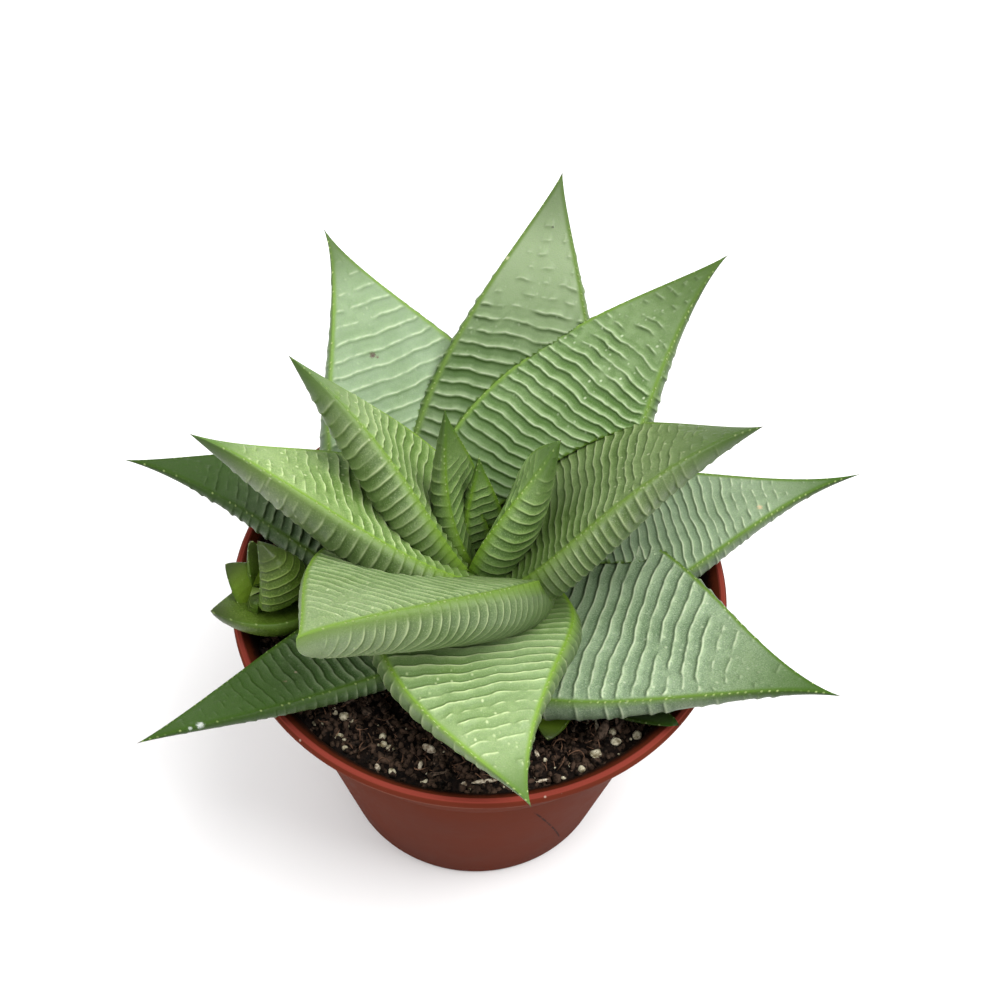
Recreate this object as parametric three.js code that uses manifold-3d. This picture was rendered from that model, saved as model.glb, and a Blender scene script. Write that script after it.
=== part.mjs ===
// A haworthia rosette with two small offsets, growing in a round plastic nursery pot.
// Millimetres, +Z up. The origin is on the pot's axis, on the surface that the pot stands on,
// and -Y is the side that the plant leans towards.
import * as THREE from "three";
import { mergeVertices } from "three/addons/utils/BufferGeometryUtils.js";
import Module from "manifold-3d";

const wasm = await Module();
wasm.setup();

// Driving dimensions of the pot.
const POT = {
  height: 63,
  lipRadius: 45,
  lipWidth: 1.6,
  lipHeight: 2,
  collarTopRadius: 43,
  collarHeight: 17,
  collarStep: 0.8,
  bodyTopRadius: 37,
  baseRadius: 27,
  baseThickness: 1.8,
  wall: 1.4,
  sides: 40,
};
const DRAIN = { count: 6, radius: 3.2, circle: 18, sides: 10 };

// Driving dimensions of the potting mix, and the clearance kept between neighbouring solids.
const SOIL = {
  level: 57.5,
  slope: 0.03,
  dip: 8.5,
  dipInner: 12,
  dipOuter: 34,
  hollow: 3,
  hollowRadius: 9,
  lump: 0.8,
  rings: 7,
  sides: 36,
};
const GAP = 0.3;
const SHORTEST_EDGE = 0.01;

// The main stem leans a little towards -Y. Its foot stands in a hole in the soil.
const STEM = {
  foot: [1, 4, 32],
  crown: [1, 2, 70],
  footRadius: 4.2,
  crownRadius: 3.2,
  sides: 10,
};

// Ridge spacing and ridge height of full-grown leaves, of the heart of the rosette and of the offsets.
const GROWN = { pitch: 3.4, ridge: 0.5 };
const HEART = { pitch: 2.6, ridge: 0.4 };
const OFFSET = { pitch: 2.8, ridge: 0.3 };

// Leaves of one family from rows of values: the name, where the midrib starts and ends, how far
// its middle stands above and to the left of the straight line, the roll at the foot and at the
// tip in degrees, the largest width and depth, and how fast the width and the depth taper.
function leavesOf(family, rows) {
  return rows.map(([name, foot, tip, bow, swing, roll, width, depth, taper, keelTaper]) => ({
    ...family,
    ...{ name, foot, tip, bow, swing, roll, width, depth, taper, keelTaper },
  }));
}

// Each leaf lies over the ones listed after it.
const LEAVES = [
  ...leavesOf(HEART, [
    ["leaf_heart_1", [0, 1, 68], [-2.2, 4.6, 86], 0, 0, [0, 0], 5, 3, 1.3, 1],
    ["leaf_heart_2", [1, 2, 68], [-1, 6, 92], 0, 0, [0, 0], 8, 4, 1.4, 1],
    ["leaf_heart_3", [1, 3, 67], [-7, 9, 100], 0, 1, [20, 20], 15, 6, 1.4, 1],
    ["leaf_heart_4", [-0.5, 1.8, 67], [12.8, 5.5, 97.5], 1, 2, [-75, 10], 20, 8, 1.25, 1],
  ]),
  ...leavesOf(GROWN, [
    ["leaf_upper_1", [0, 4, 69], [-34, 17, 103], 1, -2, [36, 36], 28, 10, 1.5, 1],
    ["leaf_upper_2", [0, 5, 69], [47, 10, 98], 2, 3, [-20, -20], 38, 11, 1.5, 1],
    ["leaf_upper_3", [1, 5, 68], [-49, 2, 99], 1, 0, [20, 20], 32, 11, 1.7, 1],
    ["leaf_upper_4", [1, 3, 67], [-27, -37, 98], 2, -3, [30, 5], 38, 13, 1.3, 0.5],
    ["leaf_upper_5", [1, 2, 65], [10, -52, 76], 3, -5, [0, 0], 35, 11, 1.4, 1],
    ["leaf_back_1", [1, 3, 66], [43, 50, 100], 1, 5, [0, 0], 34, 9, 1.4, 1],
    ["leaf_back_2", [1, 3, 61], [12, 66, 104], -1, 1, [0, 0], 35, 9, 1.2, 1],
    ["leaf_back_3", [1, 3, 61], [-33, 60, 93], 0, -1, [0, 0], 43, 9, 1.55, 1],
    ["leaf_outer_1", [1, 3, 61], [60, -31, 79], 0, -1, [0, 0], 42, 9, 1.7, 1],
    ["leaf_outer_2", [1, 3, 62], [69, 19, 76], 0, 1, [0, 0], 33, 8, 1.9, 1],
    ["leaf_outer_3", [1, 3, 61], [-65, 13, 78], 3, -3, [8, 8], 32, 8, 1.5, 1],
    ["leaf_outer_4", [1, 3, 62], [-54, -42, 73], 1, 1.5, [12, 12], 22, 7, 1.3, 1],
    ["leaf_outer_5", [1, 3, 55], [35, -30, 66], -3, -1, [0, 0], 12, 3.5, 0.7, 1],
  ]),
];

// The offsets: a short stem in the soil, and leaves whose feet are sunk into it.
const OFFSETS = [
  {
    name: "pup_left",
    foot: [-35.5, -7, 54],
    top: [-37.6, -7.2, 64.4],
    footRadius: 2.2,
    topRadius: 3.3,
    leaves: leavesOf(OFFSET, [
      ["upright", [-37, -7, 62], [-38.2, -6.5, 81.5], 3, 0, [162, 166], 12, 4.5, 0.9, 0.7],
      ["inner", [-38, -6.5, 63], [-39.6, -5.8, 80.5], 0.5, 0, [-20, -20], 5, 3, 0.6, 0.8],
      ["outer", [-36.5, -9, 65], [-44.3, -6.8, 74.8], 0.8, 0, [-50, -45], 9, 3.5, 0.8, 0.8],
      ["low", [-33, -5, 66], [-46.5, -13.4, 69.8], -0.5, 1, [25, 35], 14, 4, 0.9, 0.7],
      ["far", [-37, -6, 62], [-34, 1, 67], 0, 0, [0, 0], 7, 3, 0.9, 0.8],
    ]),
  },
  {
    name: "pup_front",
    foot: [14, -22.5, 50],
    top: [14, -22.5, 61.5],
    footRadius: 1.8,
    topRadius: 2.6,
    leaves: leavesOf(OFFSET, [
      ["near", [14, -21.5, 60.5], [13, -31, 61], 0, 0, [0, 0], 7, 4, 0.8, 0.6],
      ["right", [14, -22.5, 60.5], [20, -26, 63.5], 0, 0, [0, 0], 6, 3, 0.8, 0.6],
      ["left", [14, -22.5, 60.5], [8, -27, 63], 0, 0, [0, 0], 6, 3, 0.8, 0.6],
    ]),
  },
];

// Shape that all leaves share: shares are of the leaf's length, width or depth.
const LEAF = {
  widest: 0.25,
  footStart: 0.2,
  deepest: 0.3,
  channel: 0.18,
  bulge: 0.12,
  footRound: 3,
  tipRound: 1.8,
  upperColumns: 5,
  lowerColumns: 6,
};
const RIDGE = { start: 0.22, end: 0.84, crest: 0.35, wave: 0.5 };

const COLOUR = {
  pot: 0x7d4236,
  soil: 0x2e231b,
  stem: 0x7f9357,
  heart: 0x6f9147,
  upper: 0x8fae66,
  back: 0x93ad7a,
  outer: 0x6d8b5a,
  offset: 0x5d7638,
};

const lerp = THREE.MathUtils.lerp;
const clamp = THREE.MathUtils.clamp;
const radians = THREE.MathUtils.degToRad;

// Closed loops of points, all with the same count, stacked between two end points.
function stackGeometry(start, loops, end) {
  const count = loops[0].length;
  const points = [start, ...loops.flat(), end];
  const last = points.length - 1;
  const faces = [];
  for (let i = 0; i < count; i++) {
    const j = (i + 1) % count;
    faces.push(0, 1 + j, 1 + i);
    for (let k = 0; k + 1 < loops.length; k++) {
      const a = 1 + k * count;
      const b = a + count;
      faces.push(a + i, a + j, b + j, a + i, b + j, b + i);
    }
    const top = 1 + (loops.length - 1) * count;
    faces.push(last, top + i, top + j);
  }
  const geometry = new THREE.BufferGeometry().setFromPoints(points);
  return geometry.setIndex(faces);
}

// A closed geometry as a solid for joining and cutting.
function toSolid(geometry) {
  const bare = new THREE.BufferGeometry();
  bare.setAttribute("position", geometry.getAttribute("position"));
  bare.setIndex(geometry.index);
  const merged = mergeVertices(bare, 1e-4);
  return new wasm.Manifold(
    new wasm.Mesh({
      numProp: 3,
      vertProperties: merged.attributes.position.array,
      triVerts: new Uint32Array(merged.index.array),
    }),
  );
}

function toGeometry(solid) {
  const mesh = solid.getMesh();
  const geometry = new THREE.BufferGeometry();
  geometry.setAttribute("position", new THREE.BufferAttribute(mesh.vertProperties, mesh.numProp));
  return geometry.setIndex(new THREE.BufferAttribute(mesh.triVerts, 1));
}

// The largest body of a solid, so that a cut leaves no loose scrap, without edges too short to see.
function largestBody(solid) {
  const bodies = solid.decompose();
  const largest = bodies.reduce((best, body) => (body.volume() > best.volume() ? body : best));
  return largest.asOriginal().simplify(SHORTEST_EDGE);
}

// A tapered post between two points, with upright loops.
function postSolid(foot, top, footRadius, topRadius, sides) {
  const loop = (centre, radius) =>
    Array.from({ length: sides }, (_, i) => {
      const angle = (2 * Math.PI * i) / sides;
      return new THREE.Vector3(
        centre.x + radius * Math.cos(angle),
        centre.y + radius * Math.sin(angle),
        centre.z,
      );
    });
  return toSolid(stackGeometry(foot, [loop(foot, footRadius), loop(top, topRadius)], top));
}

// The midrib is a quadratic curve from the stem to the tip.
function midribOf(leaf) {
  const foot = new THREE.Vector3(...leaf.foot);
  const tip = new THREE.Vector3(...leaf.tip);
  const chord = tip.clone().sub(foot).normalize();
  const left = new THREE.Vector3(0, 0, 1).cross(chord).normalize();
  const up = chord.clone().cross(left);
  const control = foot.clone().lerp(tip, 0.45);
  control.addScaledVector(up, 2 * leaf.bow).addScaledVector(left, 2 * leaf.swing);
  return new THREE.QuadraticBezierCurve3(foot, control, tip);
}

// The frame that a section is drawn in: its centre, its way along, its left and its upper side.
function sectionFrame(leaf, midrib, share) {
  const along = midrib.getTangent(share);
  const left = new THREE.Vector3(0, 0, 1).cross(along).normalize();
  const up = along.clone().cross(left);
  const roll = radians(lerp(leaf.roll[0], leaf.roll[1], share));
  const side = left.clone().multiplyScalar(Math.cos(roll)).addScaledVector(up, Math.sin(roll));
  const face = up.clone().multiplyScalar(Math.cos(roll)).addScaledVector(left, -Math.sin(roll));
  return { centre: midrib.getPoint(share), along, side, face };
}

// A rise and a taper that meet at the peak, as shares from 0 to 1. It starts above 0 because
// the leaf is already broad where it leaves the stem.
function swell(share, peak, start, taper) {
  const rise = ((peak + start) * taper) / (1 - peak);
  return Math.pow((share + start) / (peak + start), rise) * Math.pow((1 - share) / (1 - peak), taper);
}

const halfWidthAt = (leaf, share) => (leaf.width / 2) * swell(share, LEAF.widest, LEAF.footStart, leaf.taper);
const depthAt = (leaf, share) => leaf.depth * swell(share, LEAF.deepest, LEAF.footStart, leaf.keelTaper);

// The outline of a section as pairs (to the left, towards the upper side): along the upper
// face from the left margin to the right one, then round the keel and back.
function sectionOutline(leaf, share, grow) {
  const half = halfWidthAt(leaf, share) + grow;
  const depth = depthAt(leaf, share) + grow;
  const round = lerp(LEAF.footRound, LEAF.tipRound, share);
  const channel = LEAF.channel * half * (1 - 1.6 * share);
  const outline = [];
  for (let i = 0; i <= LEAF.upperColumns; i++) {
    const x = 1 - (2 * i) / LEAF.upperColumns;
    outline.push([x * half, -channel * (1 - x * x) + grow]);
  }
  for (let i = 1; i < LEAF.lowerColumns; i++) {
    const angle = (Math.PI * i) / LEAF.lowerColumns;
    const down = Math.pow(Math.sin(angle), 2 / round);
    const across = -Math.sign(Math.cos(angle)) * Math.pow(Math.abs(Math.cos(angle)), 2 / round);
    const belly = 1 + 4 * LEAF.bulge * down * (1 - down);
    outline.push([half * across * belly, -depth * down]);
  }
  return outline;
}

// Moves each point of an outline outwards by its own distance.
function puffed(outline, distances) {
  const count = outline.length;
  return outline.map((point, i) => {
    const before = outline[(i + count - 1) % count];
    const after = outline[(i + 1) % count];
    const dx = after[0] - before[0];
    const dy = after[1] - before[1];
    const length = Math.hypot(dx, dy) || 1;
    return [point[0] + (dy / length) * distances[i], point[1] - (dx / length) * distances[i]];
  });
}

// The sections of a leaf as shares of its length, each with its relief from 0 to 1.
function ridgeSections(leaf, length) {
  const sections = [
    { share: 0, relief: 0 },
    { share: 0.1, relief: 0 },
  ];
  const pitch = leaf.pitch / length;
  let row = 0;
  for (let share = RIDGE.start; share < RIDGE.end; share += pitch) {
    sections.push({ share, relief: 0, row });
    sections.push({ share: share + pitch * RIDGE.crest, relief: 1, row: row + RIDGE.crest });
    row += 1;
  }
  sections.push({ share: RIDGE.end + 0.03, relief: 0, row });
  sections.push({ share: 0.95, relief: 0, row });
  return sections;
}

// How far a ridge wanders along the leaf at a place across it, from -1 to 1.
function wander(leaf, row, across) {
  const seed = leaf.tip[0];
  return Math.sin(2.2 * across + 0.55 * row + seed) + 0.5 * Math.sin(5 * across - 0.9 * row + 2 * seed);
}

function leafGeometry(leaf) {
  const midrib = midribOf(leaf);
  const length = midrib.getLength();
  const loops = ridgeSections(leaf, length).map(({ share, relief, row }) => {
    const frame = sectionFrame(leaf, midrib, share);
    const fade = clamp((1 - share) * 4, 0, 1);
    const outline = sectionOutline(leaf, share, 0);
    const raised = puffed(outline, outline.map(() => relief * leaf.ridge * fade));
    const half = halfWidthAt(leaf, share);
    return raised.map(([across, up]) => {
      const shift = row === undefined ? 0 : RIDGE.wave * fade * wander(leaf, row, across / half);
      return frame.centre
        .clone()
        .addScaledVector(frame.along, shift)
        .addScaledVector(frame.side, across)
        .addScaledVector(frame.face, up);
    });
  });
  return stackGeometry(midrib.getPoint(0), loops, midrib.getPoint(1));
}

// The smooth room that a leaf needs, a gap larger than the leaf, to cut out of its neighbours.
function leafRoom(leaf) {
  const midrib = midribOf(leaf);
  const grow = 1.4 * GAP + leaf.ridge;
  const steps = 9;
  const loops = Array.from({ length: steps }, (_, i) => {
    const share = (0.95 * i) / (steps - 1);
    const frame = sectionFrame(leaf, midrib, share);
    return sectionOutline(leaf, share, grow).map(([across, up]) =>
      frame.centre.clone().addScaledVector(frame.side, across).addScaledVector(frame.face, up),
    );
  });
  const start = midrib.getPoint(0).addScaledVector(midrib.getTangent(0), -grow);
  const end = midrib.getPoint(1).addScaledVector(midrib.getTangent(1), grow);
  return toSolid(stackGeometry(start, loops, end));
}

// The pot is one turned shell: base, tapered wall, collar and a thick lip.
function potGeometry() {
  const { height, lipRadius, lipWidth, lipHeight, collarHeight, collarStep, wall } = POT;
  const bodyTop = height - collarHeight;
  const collarFoot = POT.bodyTopRadius + collarStep;
  const outside = [
    [0, 0],
    [POT.baseRadius - 1, 0],
    [POT.baseRadius, 1],
    [POT.bodyTopRadius, bodyTop],
    [collarFoot, bodyTop + 0.5],
    [POT.collarTopRadius, height - lipHeight],
    [lipRadius - 0.4, height - lipHeight],
    [lipRadius, height - lipHeight + 0.5],
    [lipRadius, height - 0.6],
    [lipRadius - 0.5, height],
  ];
  const inside = [
    [lipRadius - lipWidth + 0.5, height],
    [lipRadius - lipWidth, height - 0.5],
    [POT.collarTopRadius - wall, height - lipHeight - 0.5],
    [collarFoot - wall, bodyTop + 0.5],
    [POT.bodyTopRadius - wall, bodyTop - 0.6],
    [POT.baseRadius - wall + 0.2, POT.baseThickness + 0.8],
    [POT.baseRadius - wall - 0.8, POT.baseThickness],
    [0, POT.baseThickness],
  ];
  const profile = [...outside, ...inside].map(([x, y]) => new THREE.Vector2(x, y));
  const turned = new THREE.LatheGeometry(profile, POT.sides);
  turned.rotateX(Math.PI / 2);
  let shell = toSolid(turned);
  for (let i = 0; i < DRAIN.count; i++) {
    const angle = (2 * Math.PI * (i + 0.5)) / DRAIN.count;
    const x = DRAIN.circle * Math.cos(angle);
    const y = DRAIN.circle * Math.sin(angle);
    const low = new THREE.Vector3(x, y, -1);
    const high = new THREE.Vector3(x, y, POT.baseThickness + 1);
    shell = shell.subtract(postSolid(low, high, DRAIN.radius, DRAIN.radius, DRAIN.sides));
  }
  return toGeometry(shell);
}

// The radius of the pot's inner wall at a height.
function wallRadiusAt(z) {
  const bodyTop = POT.height - POT.collarHeight;
  const share = (z - bodyTop) / (POT.collarHeight - POT.lipHeight);
  if (share > 0) return lerp(POT.bodyTopRadius + POT.collarStep, POT.collarTopRadius, share) - POT.wall;
  return lerp(POT.baseRadius, POT.bodyTopRadius, z / bodyTop) - POT.wall;
}

// The height of the potting mix: it falls to the right, dips under the rosette and is hollow
// round each offset. Its crumbs are raised by a formula, and fade out at the wall.
function soilHeightAt(x, y, crumbShare) {
  const { smoothstep } = THREE.MathUtils;
  const dip = SOIL.dip * (1 - smoothstep(Math.hypot(x, y), SOIL.dipInner, SOIL.dipOuter));
  const hollows = OFFSETS.map(({ foot }) => {
    const away = Math.hypot(x - foot[0], y - foot[1]);
    return SOIL.hollow * (1 - smoothstep(away, SOIL.hollowRadius / 2, SOIL.hollowRadius));
  });
  const crumbs = Math.sin(0.9 * x + 1.3 * Math.sin(0.7 * y)) * Math.sin(0.8 * y + 1.1 * Math.cos(0.6 * x));
  return SOIL.level - SOIL.slope * x - dip - Math.max(...hollows) + SOIL.lump * crumbs * crumbShare;
}

// The potting mix fills the pot from its floor to that height.
function soilSolid() {
  const ring = (placeAt) =>
    Array.from({ length: SOIL.sides }, (_, i) => placeAt((2 * Math.PI * i) / SOIL.sides));
  const level = (radius, z) =>
    ring((angle) => new THREE.Vector3(radius * Math.cos(angle), radius * Math.sin(angle), z));
  const surface = (share) =>
    ring((angle) => {
      const nominal = wallRadiusAt(SOIL.level);
      const edge = soilHeightAt(nominal * Math.cos(angle), nominal * Math.sin(angle), 0);
      const radius = (wallRadiusAt(edge) - 2 * GAP) * share;
      const x = radius * Math.cos(angle);
      const y = radius * Math.sin(angle);
      return new THREE.Vector3(x, y, soilHeightAt(x, y, clamp(4 * (1 - share), 0, 1)));
    });
  const floor = POT.baseThickness + GAP;
  const bodyTop = POT.height - POT.collarHeight;
  const loops = [
    level(wallRadiusAt(floor + 1) - 7 * GAP, floor),
    level(wallRadiusAt(floor + 1) - 4 * GAP, floor + 1),
    level(wallRadiusAt(bodyTop) - 2 * GAP, bodyTop),
  ];
  for (let i = 0; i < SOIL.rings; i++) loops.push(surface(1 - i / SOIL.rings));
  const middle = new THREE.Vector3(0, 0, soilHeightAt(0, 0, 1));
  return toSolid(stackGeometry(new THREE.Vector3(0, 0, floor), loops, middle));
}

const plant = new THREE.Group();

function addPiece(name, geometry, color, roughness) {
  const material = new THREE.MeshStandardMaterial({ color, roughness, metalness: 0 });
  const mesh = new THREE.Mesh(geometry, material);
  mesh.name = name;
  plant.add(mesh);
}

// The room that an upright post needs, a gap larger than the post.
const postRoom = (foot, top, footRadius, topRadius, sides) =>
  postSolid(
    foot.clone().setZ(foot.z - GAP),
    top.clone().setZ(top.z + GAP),
    footRadius + GAP,
    topRadius + GAP,
    sides,
  );

const stemEnds = [new THREE.Vector3(...STEM.foot), new THREE.Vector3(...STEM.crown)];
const stemShape = [...stemEnds, STEM.footRadius, STEM.crownRadius, STEM.sides];
const offsetShape = ({ foot, top, footRadius, topRadius }) => [
  new THREE.Vector3(...foot),
  new THREE.Vector3(...top),
  footRadius,
  topRadius,
  STEM.sides,
];

let soil = soilSolid().subtract(postRoom(...stemShape));
for (const offset of OFFSETS) soil = soil.subtract(postRoom(...offsetShape(offset)));

const rooms = [postRoom(...stemShape)];
for (const leaf of LEAVES) {
  let solid = toSolid(leafGeometry(leaf));
  for (const room of rooms) solid = solid.subtract(room);
  const tone = leaf.name.replace(/leaf_(.*)_.*/, "$1");
  addPiece(leaf.name, toGeometry(largestBody(solid)), COLOUR[tone], 0.55);
  rooms.push(leafRoom(leaf));
}

for (const offset of OFFSETS) {
  let solid = postSolid(...offsetShape(offset));
  for (const leaf of offset.leaves) solid = solid.add(toSolid(leafGeometry(leaf)));
  for (const room of rooms) solid = solid.subtract(room);
  addPiece(offset.name, toGeometry(largestBody(solid)), COLOUR.offset, 0.55);
}

addPiece("pot", potGeometry(), COLOUR.pot, 0.45);
addPiece("soil", toGeometry(largestBody(soil)), COLOUR.soil, 0.95);
addPiece("stem", toGeometry(postSolid(...stemShape)), COLOUR.stem, 0.6);

export default plant;
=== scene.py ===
"""The looks of a potted haworthia: fine leaves with washboard ridges, a turned plastic pot and its soil.

Lengths are in millimetres until a mesh is made. +Z is up and the origin is under the middle of the pot.
"""

import math

import bmesh
import bpy
import numpy as np
from mathutils import Matrix, Vector


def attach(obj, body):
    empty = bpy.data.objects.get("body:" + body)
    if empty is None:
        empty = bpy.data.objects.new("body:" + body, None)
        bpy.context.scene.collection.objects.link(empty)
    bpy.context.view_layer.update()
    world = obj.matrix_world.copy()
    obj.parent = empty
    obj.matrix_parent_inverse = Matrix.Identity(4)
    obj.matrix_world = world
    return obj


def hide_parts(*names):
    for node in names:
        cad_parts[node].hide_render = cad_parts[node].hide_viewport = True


MM = 0.001

# The pot, the soil in it and the stem, with the same values as the solids, the soil's bank apart.
POT_PROFILE = [
    (26.0, 0.0), (27.0, 1.0), (37.0, 46.0), (37.8, 46.5), (43.0, 61.0), (44.6, 61.0), (45.0, 61.5),
    (45.0, 62.4), (44.5, 63.0), (43.9, 63.0), (43.4, 62.5), (41.6, 60.5), (36.4, 46.5), (35.6, 45.4),
    (25.8, 2.6), (24.8, 1.8),
]
POT_SIDES = 192

# The straight part of the pot's wall: its height, its outer radii below and above, and its thickness.
POT_WALL = {"height": 46.0, "radii": (27.0, 37.0), "wall": 1.4}

# The drain holes, and the radius of the circle that they stand on.
DRAIN = {"count": 6, "radius": 3.2, "circle": 18.0}

# A scratch that slants down the front of the pot: its angle at the foot, its turn in a
# millimetre, the half width of its edge as a turn, and the heights where it starts and ends.
SCRATCH = {
    "angle": -0.81, "turn": 0.0108, "edge": (0.003, 0.008), "starts": (8.0, 12.0), "ends": (38.0, 41.0),
}

# The soil dips towards the middle between two radii, and lies lower round each offset.
SOIL = {
    "level": 57.5, "slope": 0.03, "dip": 8.5, "dip_inner": 12.0, "dip_outer": 34.0,
    "hollow": 3.0, "hollow_radius": 9.0, "lump": 0.8,
}
STEM = {"foot": (1, 4, 32), "crown": (1, 2, 70), "foot_radius": 4.2, "crown_radius": 3.2}

# Where the soil stands higher by the wall at the left: how much, and the distances from the axis and
# to the left over which it rises.
BANK = {"height": 2.0, "radius": (35, 41), "left": (28, 36)}

# The mound's points, the radius of its top, its distance from the wall, the heights of its side, and
# the height above which grains lie on it.
SOIL_MESH = {
    "sides": 260, "rings": 64, "top_radius": 41.2, "gap": 0.4, "side_heights": (2.4, 25.0, 44.0),
    "grains_above": 46,
}

# The camera: its sensor and lens, where it stands and looks, and its turn round its own axis in degrees.
CAMERA = {
    "sensor": 36, "lens": 59.3, "place": (2.96, -174.84, 307.25), "aim": (2.96, 11.91, 72.47), "roll": 2.5,
}

# The shape of a section, the same for every leaf: where along it a leaf is widest and deepest, how far
# behind its foot the swelling starts, how hollow its upper face is, how fast the hollow turns into a hump
# towards the tip, how far its flanks bulge, and where along the midrib its bow is set.
WIDEST = 0.25
FOOT_START = 0.2
DEEPEST = 0.3
CHANNEL = 0.18
CHANNEL_FADE = 1.6
BULGE = 0.12
BOW_PLACE = 0.45

# Ridge spacing, ridge height, how far a ridge wanders along the leaf, how far above its upper side a leaf
# pushes its neighbours away, and how full its underside is at the foot and at the tip.
GROWN = {"pitch": 2.9, "ridge": 0.45, "wave": 0.55, "lift": 2.5, "rounds": (3.0, 1.8)}
HEART = {"pitch": 1.9, "ridge": 0.3, "wave": 0.4, "lift": 0.0, "rounds": (3.0, 1.8)}
OFFSET = {"pitch": 1.4, "ridge": 0.22, "wave": 0.25, "lift": 0.0, "rounds": (2.4, 1.3)}

# Distance between the beads of a margin.
BEAD_SPACING = 1.1

# Places of the mesh rows between two ridges, as shares of the spacing, with the crest at 0, the distance
# between mesh columns, and how far a ridge hooks towards the tip at the margins.
ROW_PLACES = [-0.38, -0.24, -0.15, -0.07, 0.0, 0.05, 0.13, 0.27, 0.44]
COLUMN_STEP = 0.75
HOOK = 0.5

# Mesh columns round a section: the fewest on a side, how much coarser they are below, and how far they
# crowd towards the margins.
COLUMNS = {"fewest": 8, "coarser_below": 1.6, "crowding": 0.25}

# How fast the wander of the ridges sets in from the foot and from the tip of a leaf, and how wide the
# blend from its upper face to its underside is.
SETS_IN = {"foot": 5, "tip": 4}
MARGIN_BLEND = 0.4

# The coarse leaves that cut the ones below: mesh step, number of sections, where the last one stands,
# and how far inside the leaf's surface they keep.
ROOM = {"step": 2.0, "sections": 25, "last": 0.96, "inside": 0.1}


def leaves_of(family, slot, rows):
    """Leaves of one family. A row is the name, where the midrib starts and ends, how far its middle stands
    above and to the left of the straight line, the roll at the foot and at the tip in degrees, the largest
    width and depth, and how fast the width and the depth taper."""
    keys = ("name", "foot", "tip", "bow", "swing", "roll", "width", "depth", "taper", "keel_taper")
    return [dict(zip(keys, row), slot=slot, **family) for row in rows]


# A leaf that lies over another one comes before it.
LEAVES = (
    leaves_of(HEART, "heart_leaf", [
        ("leaf_heart_1", (0, 1, 68), (-2.2, 4.6, 86), 0, 0, (0, 0), 5, 3, 1.3, 1),
        ("leaf_heart_2", (1, 2, 68), (-1, 6, 92), 0, 0, (0, 0), 8, 4, 1.4, 1),
        ("leaf_heart_3", (1, 3, 67), (-7, 9, 100), 0, 1, (20, 20), 15, 6, 1.4, 1),
        ("leaf_heart_4", (-0.5, 1.8, 67), (12.8, 5.5, 97.5), 1, 2, (-75, 10), 20, 8, 1.25, 1),
    ])
    + leaves_of(GROWN, "upper_leaf", [
        ("leaf_upper_1", (0, 4, 69), (-34, 17, 103), 1, -2, (36, 36), 28, 10, 1.5, 1),
        ("leaf_upper_2", (0, 5, 69), (47, 10, 98), 2, 3, (-20, -20), 38, 11, 1.5, 1),
        ("leaf_upper_3", (1, 5, 68), (-49, 2, 99), 1, 0, (20, 20), 32, 11, 1.7, 1),
        ("leaf_upper_4", (1, 3, 67), (-27, -37, 98), 2, -3, (30, 5), 38, 13, 1.3, 0.5),
        ("leaf_upper_5", (1, 2, 65), (10, -52, 76), 3, -5, (0, 0), 35, 11, 1.4, 1),
    ])
    + leaves_of(GROWN, "back_leaf", [
        ("leaf_back_1", (1, 3, 66), (43, 50, 100), 1, 5, (0, 0), 34, 9, 1.4, 1),
        ("leaf_back_2", (1, 3, 61), (12, 66, 104), -1, 1, (0, 0), 35, 9, 1.2, 1),
        ("leaf_back_3", (1, 3, 61), (-33, 60, 93), 0, -1, (0, 0), 43, 9, 1.55, 1),
    ])
    + leaves_of(GROWN, "outer_leaf", [
        ("leaf_outer_1", (1, 3, 61), (60, -31, 79), 0, -1, (0, 0), 42, 9, 1.7, 1),
        ("leaf_outer_2", (1, 3, 62), (69, 19, 76), 0, 1, (0, 0), 33, 8, 1.9, 1),
        ("leaf_outer_3", (1, 3, 61), (-65, 13, 78), 3, -3, (8, 8), 32, 8, 1.5, 1),
        ("leaf_outer_4", (1, 3, 62), (-54, -42, 73), 1, 1.5, (12, 12), 22, 7, 1.3, 1),
        ("leaf_outer_5", (1, 3, 55), (35, -30, 66), -3, -1, (0, 0), 12, 3.5, 0.7, 1),
    ])
)

# The offsets: each is a short post with leaves of its own.
OFFSETS = [
    {
        "name": "pup_left", "foot": (-35.5, -7, 54), "top": (-37.6, -7.2, 64.4),
        "foot_radius": 2.2, "top_radius": 3.3,
        "leaves": leaves_of(OFFSET, "offset_leaf", [
            ("upright", (-37, -7, 62), (-38.2, -6.5, 81.5), 3, 0, (162, 166), 12, 4.5, 0.9, 0.7),
            ("inner", (-38, -6.5, 63), (-39.6, -5.8, 80.5), 0.5, 0, (-20, -20), 5, 3, 0.6, 0.8),
            ("outer", (-36.5, -9, 65), (-44.3, -6.8, 74.8), 0.8, 0, (-50, -45), 9, 4.5, 0.8, 0.8),
            ("low", (-33, -5, 66), (-46.5, -13.4, 69.8), -0.5, 1, (10, 15), 14, 6, 0.9, 0.8),
            ("far", (-37, -6, 62), (-34, 1, 67), 0, 0, (0, 0), 7, 3, 0.9, 0.8),
        ]),
    },
    {
        "name": "pup_front", "foot": (14, -22.5, 50), "top": (14, -22.5, 61.5),
        "foot_radius": 1.8, "top_radius": 2.6,
        "leaves": leaves_of(OFFSET, "offset_leaf", [
            ("near", (14, -21.5, 60.5), (13, -31, 61), 0, 0, (0, 0), 7, 4, 0.8, 0.6),
            ("right", (14, -22.5, 60.5), (20, -26, 63.5), 0, 0, (0, 0), 6, 3, 0.8, 0.6),
            ("left", (14, -22.5, 60.5), (8, -27, 63), 0, 0, (0, 0), 6, 3, 0.8, 0.6),
        ]),
    },
]

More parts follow.
